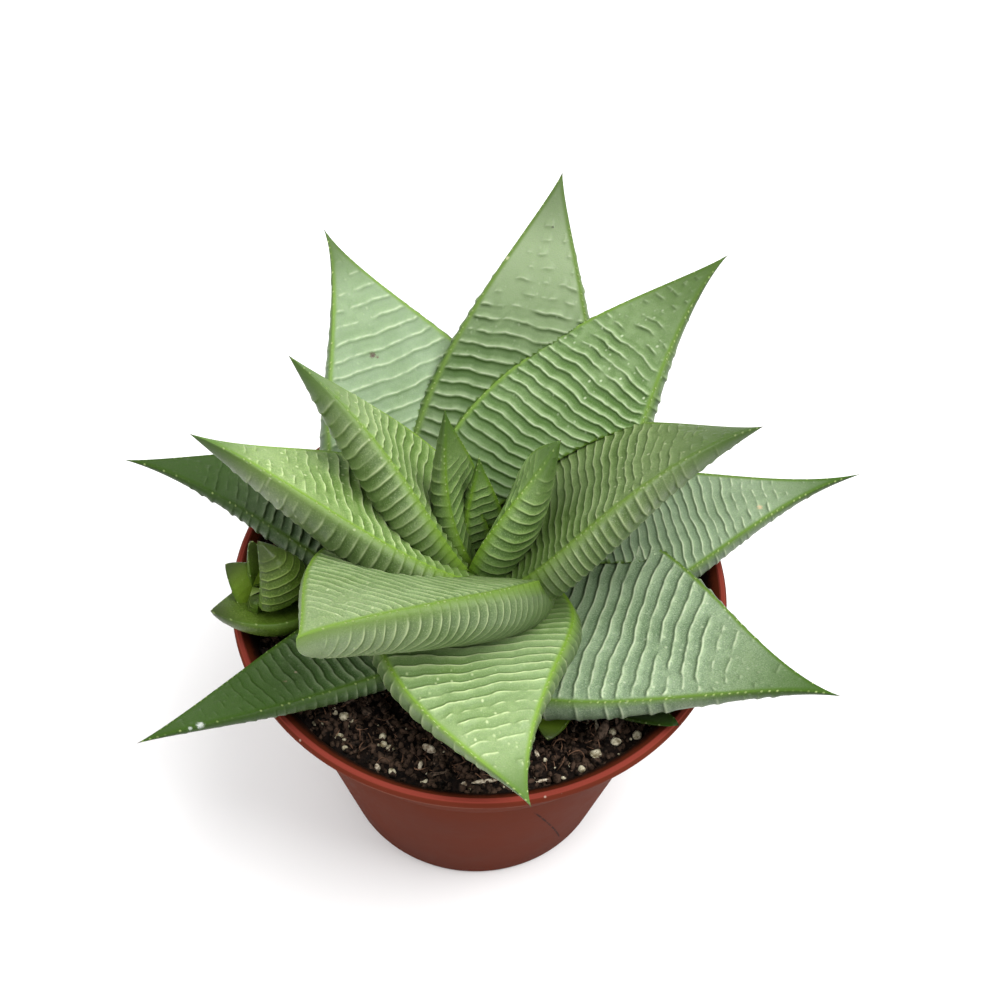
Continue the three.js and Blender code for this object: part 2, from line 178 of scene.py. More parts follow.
# Pale lumps and splinters in the soil: x, y, half the length, width and height, and the turn. Their
# middles lie above the soil by this share of half their height.
LUMP_RISE = 0.6
WHITE_LUMPS = [
    (-24.1, -26.2, 0.5, 0.5, 0.5, 0), (-22.5, -27.0, 0.9, 0.8, 0.7, 0), (-23.2, -30.5, 0.9, 0.6, 0.5, 20),
    (-22.2, -31.2, 0.7, 0.6, 0.6, 0), (-21.8, -32.8, 0.6, 0.5, 0.5, 0), (-20.0, -32.0, 0.6, 0.5, 0.4, 0),
    (-15.5, -30.3, 0.7, 0.6, 0.6, 30), (-14.1, -32.1, 0.8, 0.7, 0.6, 0), (-15.2, -31.9, 0.7, 0.6, 0.4, 0),
    (-13.4, -36.8, 0.8, 0.6, 0.5, -20), (-7.7, -38.1, 1.2, 0.6, 0.4, -10), (24.3, -26.6, 0.7, 0.7, 0.7, 0),
    (24.9, -28.8, 1.0, 0.8, 0.6, 20), (21.6, -31.1, 1.3, 0.8, 0.5, 15), (19.0, -34.5, 0.7, 0.7, 0.6, 0),
    (28.7, -26.9, 0.9, 0.9, 0.7, 0), (-35.3, -5.4, 1.1, 0.9, 0.8, 0), (-35.5, -7.6, 0.7, 0.6, 0.6, 0),
    (-21.0, -27.7, 0.4, 0.4, 0.4, 0), (-26.1, -24.2, 0.5, 0.4, 0.4, 0),
]
SPLINTERS = [
    (-16.0, -36.1, 0.5, 0.6, 1.1, 0), (-7.4, -32.0, 1.4, 0.7, 0.8, -30), (-8.7, -35.5, 0.4, 1.0, 0.5, -10),
    (-1.1, -38.1, 2.2, 0.4, 0.4, 12), (2.5, -38.0, 2.4, 0.4, 0.4, 10), (21.7, -25.4, 0.4, 2.2, 0.5, 5),
    (20.2, -24.0, 0.3, 2.0, 0.4, -5), (11.9, -36.9, 1.8, 0.3, 0.3, 15), (11.2, -31.4, 0.4, 1.4, 0.3, 20),
]

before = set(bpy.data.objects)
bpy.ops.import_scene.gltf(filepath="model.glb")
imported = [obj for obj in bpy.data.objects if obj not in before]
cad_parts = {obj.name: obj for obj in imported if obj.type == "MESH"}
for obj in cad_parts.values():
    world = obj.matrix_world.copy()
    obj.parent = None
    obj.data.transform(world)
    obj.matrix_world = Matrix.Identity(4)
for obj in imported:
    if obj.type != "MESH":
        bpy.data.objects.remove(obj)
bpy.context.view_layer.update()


def lerp(low, high, share):
    return low + (high - low) * share


def unit(vector):
    return vector / np.linalg.norm(vector, axis=-1, keepdims=True)


def smoothstep(value, low, high):
    share = np.clip((value - low) / (high - low), 0, 1)
    return share * share * (3 - 2 * share)


def link_object(name, data):
    """An object in the scene, from a mesh, a camera or a light."""
    obj = bpy.data.objects.new(name, data)
    bpy.context.scene.collection.objects.link(obj)
    return obj


def mesh_of(name, points, faces, attributes=None):
    """A mesh in metres from points in millimetres, smooth, with number attributes on its points."""
    mesh = bpy.data.meshes.new(name)
    mesh.from_pydata((np.asarray(points) * MM).tolist(), [], faces)
    for key, values in (attributes or {}).items():
        mesh.attributes.new(key, "FLOAT", "POINT").data.foreach_set("value", np.asarray(values, np.float32))
    mesh.shade_smooth()
    mesh.update()
    return mesh


def stack_faces(rows, columns):
    """Faces of closed loops stacked between a first point and a last point."""
    faces = []
    last = rows * columns + 1
    for i in range(columns):
        j = (i + 1) % columns
        faces.append((0, 1 + j, 1 + i))
        faces.append((last, last - columns + i, last - columns + j))
    for k in range(rows - 1):
        a = 1 + k * columns
        b = a + columns
        for i in range(columns):
            j = (i + 1) % columns
            faces.append((a + i, a + j, b + j, b + i))
    return faces


def swell(share, peak, start, taper):
    """A rise and a taper that meet at the peak."""
    rise = (peak + start) * taper / (1 - peak)
    return ((share + start) / (peak + start)) ** rise * ((1 - share) / (1 - peak)) ** taper


def midrib_of(leaf):
    """The three control points of the midrib."""
    foot = np.array(leaf["foot"], float)
    tip = np.array(leaf["tip"], float)
    chord = unit(tip - foot)
    left = unit(np.cross((0, 0, 1), chord))
    up = np.cross(chord, left)
    return foot, lerp(foot, tip, BOW_PLACE) + up * 2 * leaf["bow"] + left * 2 * leaf["swing"], tip


def section_frames(leaf, shares):
    """Centres, left sides and upper sides of the sections at the shares."""
    foot, control, tip = midrib_of(leaf)
    t = shares[..., None]
    centre = lerp(lerp(foot, control, t), lerp(control, tip, t), t)
    along = unit(2 * lerp(control - foot, tip - control, t))
    left = unit(np.cross((0, 0, 1), along))
    up = np.cross(along, left)
    roll = np.radians(lerp(leaf["roll"][0], leaf["roll"][1], t))
    side = left * np.cos(roll) + up * np.sin(roll)
    face = up * np.cos(roll) - left * np.sin(roll)
    return centre, side, face


def section_columns(leaf, step):
    """Columns round a section: how far across the upper face each one is, and the turn of those below."""
    upper = max(COLUMNS["fewest"], round(leaf["width"] / step))
    lower = max(COLUMNS["fewest"], round(leaf["width"] / step / COLUMNS["coarser_below"]))
    place = np.linspace(0, 1, upper + 1)
    across = np.cos(np.pi * lerp(place, 0.5 - 0.5 * np.cos(np.pi * place), COLUMNS["crowding"]))
    turn = np.pi * np.arange(1, lower) / lower
    return across, turn


def section_outlines(leaf, shares, across, turn, grow):
    """To the left and up, for every section and column. The shares are one column or one for each point."""
    half = leaf["width"] / 2 * swell(shares, WIDEST, FOOT_START, leaf["taper"]) + grow
    depth = leaf["depth"] * swell(shares, DEEPEST, FOOT_START, leaf["keel_taper"]) + grow
    bend = lerp(*leaf["rounds"], shares)
    channel = CHANNEL * half * (1 - CHANNEL_FADE * shares)
    upper = len(across)
    down = np.sin(turn) ** (2 / bend[:, -len(turn):])
    out = -np.sign(np.cos(turn)) * np.abs(np.cos(turn)) ** (2 / bend[:, -len(turn):])
    belly = 1 + 4 * BULGE * down * (1 - down)
    left = np.hstack([across * half[:, :upper], half[:, -len(turn):] * out * belly])
    up = np.hstack([-channel[:, :upper] * (1 - across**2) + grow, -depth[:, -len(turn):] * down])
    return left, up


def wander(leaf, row, across):
    """How far a ridge wanders along the leaf at a place across it in millimetres. A wave is its size, its
    pace across the leaf, its pace from ridge to ridge and its pace from leaf to leaf."""
    seed = leaf["tip"][0]
    waves = [(0.55, 0.3, 0.4, 1), (0.32, 0.7, -0.3, 2), (0.17, 1.5, 0.5, 3), (0.08, 3.1, -0.8, 5)]
    wave = sum(size * np.sin(near * across + drift * row + turn * seed) for size, near, drift, turn in waves)
    return leaf["wave"] * wave + leaf.get("skew", 0) * across


def from_margin(points, second):
    """How far each point is from the nearer margin, round its section. The margins are the first column
    and the second one."""
    step = np.linalg.norm(np.roll(points, -1, axis=1) - points, axis=2)
    walk = np.cumsum(step, axis=1) - step
    other = walk[:, second][:, None]
    whole = step.sum(axis=1)[:, None]
    return np.minimum(np.minimum(walk, np.abs(walk - other)), whole - walk)


def leaf_parts(leaf):
    """Points, faces and attributes of one leaf. The mesh rows follow the ridges."""
    foot, _, tip = midrib_of(leaf)
    length = np.linalg.norm(tip - foot)
    pitch = leaf["pitch"]
    count = int(length / pitch)
    rows = np.array([k + place for k in range(1, count) for place in ROW_PLACES])
    shares = rows * pitch / length
    shares = np.append(shares, lerp(shares[-1], 1, 0.6))[:, None]
    rows = np.append(rows, count)[:, None]
    across, turn = section_columns(leaf, COLUMN_STEP)
    straight, _ = section_outlines(leaf, shares, across, turn, 0)
    cross = straight / np.abs(straight).max(axis=1, keepdims=True)
    fade = np.clip((1 - shares) * SETS_IN["tip"], 0, 1) * np.clip(shares * SETS_IN["foot"], 0, 1)
    shift = fade * (wander(leaf, rows, straight) + HOOK * np.abs(cross) ** 6)
    bent = shares + shift / length
    left, up = section_outlines(leaf, bent, across, turn, 0)
    centre, side, face = section_frames(leaf, bent)
    points = centre + side * left[..., None] + face * up[..., None]
    half = leaf["width"] / 2 * swell(bent, WIDEST, FOOT_START, leaf["taper"])
    edge = from_margin(points, len(across) - 1)
    columns = points.shape[1]
    above = np.where(np.arange(columns) < len(across), 1.0, -1.0)
    attributes = {
        "along": bent * length,
        "across": cross,
        "edge": edge,
        "upper": above * smoothstep(edge, 0, MARGIN_BLEND),
        "from_crest": (rows - np.round(rows)) * pitch + 0 * edge,
        "number": np.round(rows) + 0 * edge,
        "share": bent,
        "half": half,
    }
    ends = {"along": length, "share": 1.0, "number": count}
    flat = {
        key: np.concatenate([[values[0, 0]], values.ravel(), [ends.get(key, 0.0)]])
        for key, values in attributes.items()
    }
    points = np.vstack([foot[None], points.reshape(-1, 3), [tip]])
    return points, stack_faces(len(shares), columns), flat


def leaf_room(leaf):
    """A coarse copy of a leaf, a little inside its surface, to cut out of the leaves under it."""
    shares = np.linspace(0, ROOM["last"], ROOM["sections"])[:, None]
    across, turn = section_columns(leaf, ROOM["step"])
    left, up = section_outlines(leaf, shares, across, turn, -ROOM["inside"])
    up[:, :len(across)] += leaf["lift"] * (1 - across**2) ** 3
    centre, side, face = section_frames(leaf, shares)
    points = centre + side * left[..., None] + face * up[..., None]
    stacked = np.vstack([centre[0], points.reshape(-1, 3), [midrib_of(leaf)[2]]])
    return mesh_of(leaf["name"] + "_room", stacked, stack_faces(len(shares), points.shape[1]))


def open_socket(sockets, name):
    """The socket of this name that the node's settings leave open."""
    return [socket for socket in sockets if socket.name == name and socket.enabled][0]


class Wires:
    """Adds nodes to a node tree and joins them, so that a formula reads from left to right."""

    def __init__(self, tree):
        self.tree = tree

    def node(self, kind, inputs=None, **settings):
        """A node with its settings and its inputs."""
        made = self.tree.nodes.new(kind)
        for name, value in settings.items():
            setattr(made, name, value)
        for key, value in (inputs or {}).items():
            self.feed(made.inputs[key], value)
        return made

    def feed(self, socket, value):
        """Joins an output to a socket, or sets the socket's own value."""
        if isinstance(value, bpy.types.NodeSocket):
            self.tree.links.new(value, socket)
        else:
            socket.default_value = value

    def math(self, operation, *values):
        made = self.node("ShaderNodeMath", operation=operation)
        for socket, value in zip(made.inputs, values):
            self.feed(socket, value)
        return made.outputs[0]

    def plus(self, first, second):
        return self.math("ADD", first, second)

    def minus(self, first, second):
        return self.math("SUBTRACT", first, second)

    def times(self, first, *others):
        for other in others:
            first = self.math("MULTIPLY", first, other)
        return first

    def size_of(self, value):
        return self.math("ABSOLUTE", value)

    def length_of(self, x, y):
        return self.math("SQRT", self.plus(self.times(x, x), self.times(y, y)))

    def smooth(self, value, low, high, start=0.0, end=1.0):
        """A smooth step of the value from start at low to end at high."""
        span = {"Value": value, "From Min": low, "From Max": high, "To Min": start, "To Max": end}
        return self.node("ShaderNodeMapRange", span, interpolation_type="SMOOTHSTEP").outputs[0]

    def vector(self, x, y, z):
        return self.node("ShaderNodeCombineXYZ", {"X": x, "Y": y, "Z": z}).outputs[0]

    def noise(self, place, scale, detail=2.0, roughness=0.5):
        """Noise from 0 to 1."""
        span = {"Vector": place, "Scale": scale, "Detail": detail, "Roughness": roughness}
        return self.node("ShaderNodeTexNoise", span).outputs[0]


# The kind of socket that an input gets, from its first value. Nothing stands for an object.
SOCKET_KINDS = {float: "NodeSocketFloat", int: "NodeSocketInt", type(None): "NodeSocketObject"}


class Relief(Wires):
    """A Geometry Nodes tree that takes a material and the named inputs."""

    def __init__(self, name, inputs):
        super().__init__(bpy.data.node_groups.new(name, "GeometryNodeTree"))
        sockets = self.tree.interface
        sockets.new_socket("Geometry", in_out="OUTPUT", socket_type="NodeSocketGeometry")
        sockets.new_socket("Geometry", in_out="INPUT", socket_type="NodeSocketGeometry")
        sockets.new_socket("Material", in_out="INPUT", socket_type="NodeSocketMaterial")
        for label, value in inputs.items():
            socket = sockets.new_socket(label, in_out="INPUT", socket_type=SOCKET_KINDS[type(value)])
            if value is not None:
                socket.default_value = value
        self.given = self.node("NodeGroupInput").outputs

    def named(self, key):
        return self.node("GeometryNodeInputNamedAttribute", {"Name": key}, data_type="FLOAT").outputs[0]

    def store(self, geometry, key, value):
        """Keeps a number on every point."""
        stored = {"Geometry": geometry, "Name": key, "Value": value}
        kept = self.node("GeometryNodeStoreNamedAttribute", stored, data_type="FLOAT", domain="POINT")
        return kept.outputs[0]

    def raised(self, geometry, height):
        """Moves every point along its normal by a height in metres."""
        push = {0: self.node("GeometryNodeInputNormal").outputs[0], "Scale": height}
        push = self.node("ShaderNodeVectorMath", push, operation="SCALE").outputs[0]
        moved = {"Geometry": geometry, "Offset": push}
        return self.node("GeometryNodeSetPosition", moved).outputs[0]

    def finish(self, geometry):
        """Makes real geometry of the instances, gives it the material and ends the tree."""
        real = self.node("GeometryNodeRealizeInstances", {"Geometry": geometry}).outputs[0]
        material = {"Geometry": real, "Material": self.given["Material"]}
        done = self.node("GeometryNodeSetMaterial", material).outputs[0]
        self.node("NodeGroupOutput", {"Geometry": done})
        return self.tree


# The inputs of the washboard tree. Pitch, heights, clearances and the margin are in millimetres. Shares run
# from the foot of a leaf at 0 to its tip at 1, and what is called below holds for the underside.
WASHBOARD = {
    "Kept share": 0.5,
    "Pitch": 2.9, "Ridge height": 0.45, "Height below": 0.6,
    "Margin clearance": 1.2, "Clearance below": 1.0, "Margin width": 1.0,
    "Crest strength": 0.9, "Step strength": 1.0,
    "Middle break": 0.5, "Whole until": 0.62, "Broken off": 0.4,
    "Dots": 0.6, "Bloom": 0.12, "Speckle": 0.5,
    # Tone and Tone below set the brightness of the upper face and the underside: partly own colour, partly
    # painted shade.
    "Tone": 0.5, "Tone below": 0.3,
    "Pale tip": 0.3, "Dark tip": 1.0, "Tip start": 0.62,
    "Seed": 0.0,
}

# A ridge, in shares of the spacing from its crest: where it rises and where it falls, the half widths of its
# pale crest and of the painted shade at the foot of its step behind it, and how far back that shade lies.
RIDGE = {
    "rise": (-0.22, 0.0), "fall": (-0.05, 0.62), "crest": (0.02, 0.085), "groove": (0.02, 0.11), "back": 0.18,
}

# How fast the noise that breaks up the ridges runs across a leaf and from one ridge to the next.
LONG_GAPS = (0.16, 1.3)
SHORT_GAPS = (0.55, 2.1)
CREST_GAPS = (0.9, 3.7)

# Shares of the leaf between which its last bumps fade, and how much longer ridges stay whole below.
LAST_BUMPS = (0.88, 0.97)
LONGER_BELOW = 0.12


def without_scraps(tree):
    """The geometry without the pieces that the cuts left over, the small ones beside the largest."""
    geometry = tree.given["Geometry"]
    island = tree.node("GeometryNodeInputMeshIsland").outputs["Island Index"]
    size = {"Value": 1, "Group ID": island}
    size = tree.node("GeometryNodeAccumulateField", size, data_type="INT", domain="POINT").outputs["Total"]
    counts = {"Geometry": geometry, "Attribute": size}
    most = tree.node("GeometryNodeAttributeStatistic", counts, data_type="FLOAT", domain="POINT")
    scrap = tree.math("LESS_THAN", size, tree.times(most.outputs["Max"], tree.given["Kept share"]))
    kept = {"Geometry": geometry, "Selection": scrap}
    return tree.node("GeometryNodeDeleteGeometry", kept, domain="POINT").outputs[0]


def washboard_tree():
    """Raises stepped ridges across a leaf and stores what its surface looks like.

    Each ridge rises steeply on the side of the foot and falls gently towards the tip. Far out the
    ridges break into short bumps."""
    tree = Relief("washboard leaf", WASHBOARD)
    given = tree.given
    edge = tree.named("edge")
    share = tree.named("share")
    number = tree.named("number")
    centred = tree.named("across")
    across = tree.times(centred, tree.named("half"))
    face = tree.named("upper")

    def by_face(below, above):
        return tree.smooth(face, -0.2, 0.2, below, above)

    def uneven(along_ridge, to_next):
        place = tree.vector(tree.times(across, along_ridge), tree.times(number, to_next), given["Seed"])
        return tree.noise(place, 1.0, 1.0)

    ahead = tree.math("DIVIDE", tree.named("from_crest"), given["Pitch"])
    fall = tree.minus(1.0, tree.smooth(ahead, *RIDGE["fall"]))
    step = tree.times(tree.smooth(ahead, *RIDGE["rise"]), fall)
    thin = tree.smooth(tree.size_of(ahead), *RIDGE["crest"], 1.0, 0.0)
    # Painted shade: a thin dark band behind each crest, where the steep face of the step lies in shade.
    behind = tree.smooth(tree.size_of(tree.plus(ahead, RIDGE["back"])), *RIDGE["groove"], 1.0, 0.0)

    clear = by_face(given["Clearance below"], given["Margin clearance"])
    inside = tree.smooth(edge, tree.times(clear, 0.25), clear)
    wide = uneven(*LONG_GAPS)
    fine = uneven(*SHORT_GAPS)
    above = tree.smooth(face, -0.5, 0.0)
    until = tree.minus(tree.plus(given["Whole until"], LONGER_BELOW), tree.times(above, LONGER_BELOW))
    lost = tree.smooth(share, tree.times(until, 0.75), tree.plus(until, 0.2), 0.34, 0.78)
    lost = tree.minus(lost, tree.times(above, 0.1))
    long = tree.smooth(tree.minus(wide, lost), 0.0, 0.08)
    broken = tree.smooth(share, until, LAST_BUMPS[1], given["Broken off"], 0.6)
    short = tree.smooth(tree.minus(fine, broken), 0.0, 0.07)
    middle = tree.smooth(tree.size_of(centred), 0.03, 0.16, 1.0, 0.0)
    gap = tree.times(middle, given["Middle break"], tree.smooth(fine, 0.4, 0.55))
    long = tree.times(long, tree.minus(1.0, gap))
    ended = tree.smooth(share, *LAST_BUMPS, 1.0, 0.0)
    whole = tree.math("MAXIMUM", long, tree.times(short, 0.8))
    whole = tree.times(whole, inside, ended, tree.minus(1.0, tree.named("calm")))
    terrace = tree.times(step, whole)
    wide_rim = tree.smooth(tree.math("DIVIDE", edge, given["Margin width"]), 0.2, 1.0, 1.0, 0.0)
    glow = tree.times(tree.smooth(edge, 0.4, clear, 0.7, 0.0), tree.smooth(face, -0.6, 0.0, 1.0, 0.2))
    strong = given["Step strength"]
    crest_fade = tree.smooth(uneven(*CREST_GAPS), 0.3, 0.6, 0.25, 1.0)
    looks = {
        "terrace": terrace,
        "ridged": tree.times(whole, strong),
        # The crest is a thin pale line on each ridge, partly the ridge's own pale colour and partly a painted
        # highlight.
        "crest": tree.times(thin, whole, given["Crest strength"], crest_fade),
        # Painted shade at the foot of each step.
        "groove": tree.times(behind, tree.math("MINIMUM", whole, long), strong),
        "rim": tree.math("MAXIMUM", wide_rim, glow),
        "dotted": tree.times(tree.smooth(share, tree.times(until, 0.5), until), ended, given["Dots"]),
        # Partly painted shade: a darker tone on the underside.
        "tone": by_face(given["Tone below"], given["Tone"]),
        "bloom": given["Bloom"],
        "speckle": given["Speckle"],
        "dark_tip": given["Dark tip"],
        "pale_tip": given["Pale tip"],
        "tip_start": given["Tip start"],
    }
    geometry = without_scraps(tree)
    for key, value in looks.items():
        geometry = tree.store(geometry, key, value)
    height = tree.times(given["Ridge height"], by_face(given["Height below"], 1.0))
    height = tree.times(height, tree.smooth(wide, 0.3, 0.65, 0.6, 1.1))
    return tree.finish(tree.raised(geometry, tree.times(terrace, height, MM)))


def grown(obj, tree, material, values):
    """Runs a Geometry Nodes tree on an object and keeps what it makes as the object's plain mesh."""
    modifier = obj.modifiers.new("grown", "NODES")
    modifier.node_group = tree
    sockets = {s.name: s.identifier for s in tree.interface.items_tree if s.in_out == "INPUT"}
    modifier[sockets["Material"]] = material
    for label, value in values.items():
        modifier[sockets[label]] = value
    keep_evaluated(obj)


def keep_evaluated(obj):
    """Replaces the object's mesh by the one its modifiers make."""
    evaluated = obj.evaluated_get(bpy.context.evaluated_depsgraph_get())
    mesh = bpy.data.meshes.new_from_object(evaluated)
    obj.modifiers.clear()
    old = obj.data
    obj.data = mesh
    bpy.data.meshes.remove(old)
    mesh.name = obj.name


def cut_by(obj, cutter):
    """Takes the cutter out of the object, once its mesh is evaluated."""
    modifier = obj.modifiers.new("cut", "BOOLEAN")
    modifier.operation = "DIFFERENCE"
    modifier.solver = "MANIFOLD"
    modifier.object = cutter


class Finish(Wires):
    """A material on the standard shader, from node mixes. A colour is red, green and blue, or an output."""

    def __init__(self, name):
        self.material = bpy.data.materials.new(name)
        self.material.use_nodes = True
        super().__init__(self.material.node_tree)
        self.shader = self.tree.nodes["Principled BSDF"]
        self.place = self.node("ShaderNodeTexCoord").outputs["Object"]

    def named(self, key):
        return self.node("ShaderNodeAttribute", attribute_name=key).outputs["Fac"]

    def mixed(self, factor, first, second):
        """The first colour at 0 and the second one at 1."""
        made = self.node("ShaderNodeMix", data_type="RGBA")
        for key, value in (("Factor", factor), ("A", first), ("B", second)):
            self.feed(open_socket(made.inputs, key), value + (1.0,) if isinstance(value, tuple) else value)
        return [socket for socket in made.outputs if socket.enabled][0]

    def surface(self, colour, roughness, shine=0.5):
        """Sets the colour, the roughness and how strongly the surface reflects."""
        self.feed(self.shader.inputs["Base Color"], colour)
        self.feed(self.shader.inputs["Roughness"], roughness)
        self.shader.inputs["Specular IOR Level"].default_value = shine

    def bump(self, height, strength, distance):
        """A bump whose full height is the distance in millimetres."""
        bumped = {"Height": height, "Strength": strength, "Distance": distance * MM}
        bumped = self.node("ShaderNodeBump", bumped).outputs[0]
        self.feed(self.shader.inputs["Normal"], bumped)


def blend(first, second, share):
    """A colour between two others."""
    return tuple(lerp(a, b, share) for a, b in zip(first, second))


# Colours that all leaves share: shadow, waxy bloom, lime leaves, the beads of the margins and dry points.
BLACK = (0, 0, 0)
BLOOM = (0.23, 0.31, 0.21)
LIME = (0.15, 0.25, 0.015)
BEAD = (0.38, 0.49, 0.17)
DRY_POINT = (0.05, 0.03, 0.012)

# Noise on the leaves: its spots in a metre, its detail and its roughness.
GRAIN = (4200.0, 2.0, 0.6)
BLOTCH = (420.0, 3.0, 0.55)
PATCHES = (90.0, 2.0, 0.5)

# The reach of light inside a leaf in red, green and blue, in millimetres.
LIGHT_REACH = (0.5, 1.0, 0.25)


def leaf_ground(finish, look, grain, blotch, patches):
    """Green steps with painted shade low and painted light high, mottled, paler towards the tip, under a thin
    bloom.
    """
    valley = look["valley"]
    light = look["light"]
    crest = look["crest"]
    # Painted shade and light: each step runs from the valley colour in its shade to the light colour on its
    # lit rise.
    steps = finish.mixed(finish.smooth(finish.named("terrace"), 0.15, 0.9), valley, light)
    base = finish.mixed(finish.named("ridged"), blend(valley, light, 0.5), steps)
    base = finish.mixed(finish.times(finish.smooth(patches, 0.42, 0.66), 0.35), base, light)
    base = finish.mixed(finish.times(finish.smooth(blotch, 0.42, 0.62), 0.45), base, valley)
    pale = finish.times(finish.smooth(finish.named("share"), 0.5, 0.85), finish.named("pale_tip"))
    base = finish.mixed(pale, base, blend(light, crest, 0.3))
    bloom = finish.times(finish.named("bloom"), finish.smooth(patches, 0.2, 0.65, 0.5, 1.0))
    base = finish.mixed(bloom, base, BLOOM)
    speckle = finish.named("speckle")
    base = finish.mixed(finish.times(finish.smooth(grain, 0.54, 0.66), speckle, 0.45), base, crest)
    pores = finish.times(finish.smooth(grain, 0.34, 0.44, 1.0, 0.0), speckle, 0.6)
    return finish.mixed(pores, base, blend(BLACK, valley, 0.45))


def leaf_lines(finish, look, base):
    """Painted shade at each step's foot and the leaf's foot, pale crests partly painted highlight, a
    yellow-green margin.
    """
    valley = look["valley"]
    # Painted shade in a thin line at the foot of each ridge's step.
    base = finish.mixed(finish.times(finish.named("groove"), 0.6), base, blend(BLACK, valley, 0.5))
    # Pale crest lines, partly the ridges' own colour and partly a painted highlight.
    base = finish.mixed(finish.named("crest"), base, look["crest"])
    # Painted shade: each leaf darkens towards its foot, where the leaves round it shade it.
    foot = finish.smooth(finish.named("share"), 0.12, 0.48, 0.7, 0.0)
    base = finish.mixed(foot, base, blend(BLACK, valley, 0.6))
    base = finish.mixed(finish.times(finish.named("lime"), 0.8), base, LIME)
    return finish.mixed(finish.times(finish.named("rim"), 0.92), base, look["margin"])


def leaf_dots(finish, across):
    """Where the pale dots between the ridges stand."""
    along = finish.times(finish.named("along"), 0.62)
    cell = finish.vector(along, finish.times(across, 0.8), finish.named("upper"))
    cells = finish.node("ShaderNodeTexVoronoi", {"Vector": cell, "Scale": 1.0, "Randomness": 0.85}).outputs
    chosen = finish.smooth(finish.noise(cells["Position"], 3.1, 0.0), 0.38, 0.52)
    near = finish.smooth(cells["Distance"], 0.06, 0.26, 1.0, 0.0)
    return finish.times(near, chosen, finish.named("dotted"))


def leaf_beads(finish, across):
    """Where the beads of the margins stand, some paler than others."""
    place = finish.times(finish.named("along"), 1 / BEAD_SPACING)
    odd = finish.vector(finish.math("FLOOR", place), finish.math("SIGN", across), 0.0)
    odd = finish.node("ShaderNodeTexWhiteNoise", {"Vector": odd}).outputs["Value"]
    spot = finish.times(finish.minus(finish.math("FRACT", place), 0.5), BEAD_SPACING)
    far = finish.length_of(spot, finish.times(finish.named("edge"), 0.8))
    bead = finish.times(finish.smooth(far, 0.08, 0.26, 1.0, 0.0), finish.smooth(odd, 0.2, 0.9))
    return finish.times(bead, finish.smooth(finish.named("share"), 0.15, 0.3))


def leaf_tip(finish, look, base):
    """A darker outer part."""
    start = finish.named("tip_start")
    end = finish.math("MINIMUM", finish.plus(start, 0.45), 0.97)
    span = {"Value": finish.named("share"), "From Min": start, "From Max": end}
    tipped = finish.smooth(finish.node("ShaderNodeMapRange", span).outputs[0], 0.0, 1.0)
    return finish.mixed(finish.times(tipped, finish.named("dark_tip"), 0.9), base, look["tip"])


def leaf_material(name, look, marks):
    """A fleshy leaf, satin and a little translucent."""
    finish = Finish(name)
    grain = finish.noise(finish.place, *GRAIN)
    blotch = finish.noise(finish.place, *BLOTCH)
    patches = finish.noise(finish.place, *PATCHES)
    across = finish.times(finish.named("across"), finish.named("half"))
    dots = leaf_dots(finish, across)
    beads = leaf_beads(finish, across)
    base = leaf_ground(finish, look, grain, blotch, patches)
    base = leaf_lines(finish, look, base)
    base = finish.mixed(finish.times(dots, 0.75), base, look["crest"])
    base = leaf_tip(finish, look, base)
    base = finish.mixed(finish.times(beads, 0.7), base, BEAD)
    point = finish.times(finish.smooth(finish.named("share"), 0.985, 0.997), finish.named("dark_tip"))
    base = finish.mixed(point, base, DRY_POINT)
    base = marked(finish, base, marks, grain)
    # Brightness from the tone, partly painted shade.
    shade = {"Color": base, "Value": finish.times(finish.named("tone"), 2.0)}
    shade = finish.node("ShaderNodeHueSaturation", shade).outputs[0]
    finish.surface(shade, finish.smooth(grain, 0.3, 0.7, 0.34, 0.5), look["shine"])
    finish.shader.inputs["Subsurface Weight"].default_value = 0.1
    finish.shader.inputs["Subsurface Radius"].default_value = LIGHT_REACH
    finish.shader.inputs["Subsurface Scale"].default_value = MM
    rough = finish.plus(finish.times(grain, 0.4), finish.times(blotch, 0.7))
    rough = finish.plus(rough, finish.times(dots, 0.9))
    rough = finish.plus(rough, finish.times(beads, 1.2))
    finish.bump(rough, 0.5, 0.24)
    return finish.material


def marked(finish, base, marks, ragged):
    """Small spots. A mark is its centre and radius in millimetres, and its colour."""
    for centre, radius, colour in marks:
        ends = {0: finish.place, 1: tuple(MM * c for c in centre)}
        away = finish.node("ShaderNodeVectorMath", ends, operation="DISTANCE").outputs["Value"]
        away = finish.plus(finish.times(away, 1 / MM / radius), finish.times(ragged, 1.6))
        base = finish.mixed(finish.smooth(away, 1.0, 1.7, 0.9, 0.0), base, colour)
    return base


def plain_material(name, dark, light, roughness, grain, height):
    """A mottled material between two colours. The grain is the size of its spots in millimetres."""
    finish = Finish(name)
    mottle = finish.noise(finish.place, 1 / (grain * MM), 4.0, 0.6)
    base = finish.mixed(finish.smooth(mottle, 0.35, 0.65), dark, light)
    finish.surface(base, finish.smooth(mottle, 0.3, 0.7, roughness, roughness + 0.1), 0.1)
    finish.bump(mottle, 0.6, height)
    return finish.material


# The pot's colours, with painted highlights on its lip and painted shade on its inner wall above the soil,
# and the
# specks on its lip: the centre and the radius of each in millimetres.
POT_COLOURS = {
    "dark": (0.085, 0.0165, 0.0068), "light": (0.1, 0.0198, 0.0086), "band": (0.14, 0.027, 0.016),
    "lip": (0.19, 0.034, 0.023), "seam": (0.2, 0.08, 0.055), "inner_shade": (0.018, 0.008, 0.005),
    "scratch": (0.02, 0.006, 0.004), "speck": (0.4, 0.28, 0.22),
}
POT_SPECKS = [((-29.1, -34.1, 62.6), 0.3), ((12.6, -42.9, 62.8), 0.3), ((15.4, -42.2, 62.8), 0.25)]

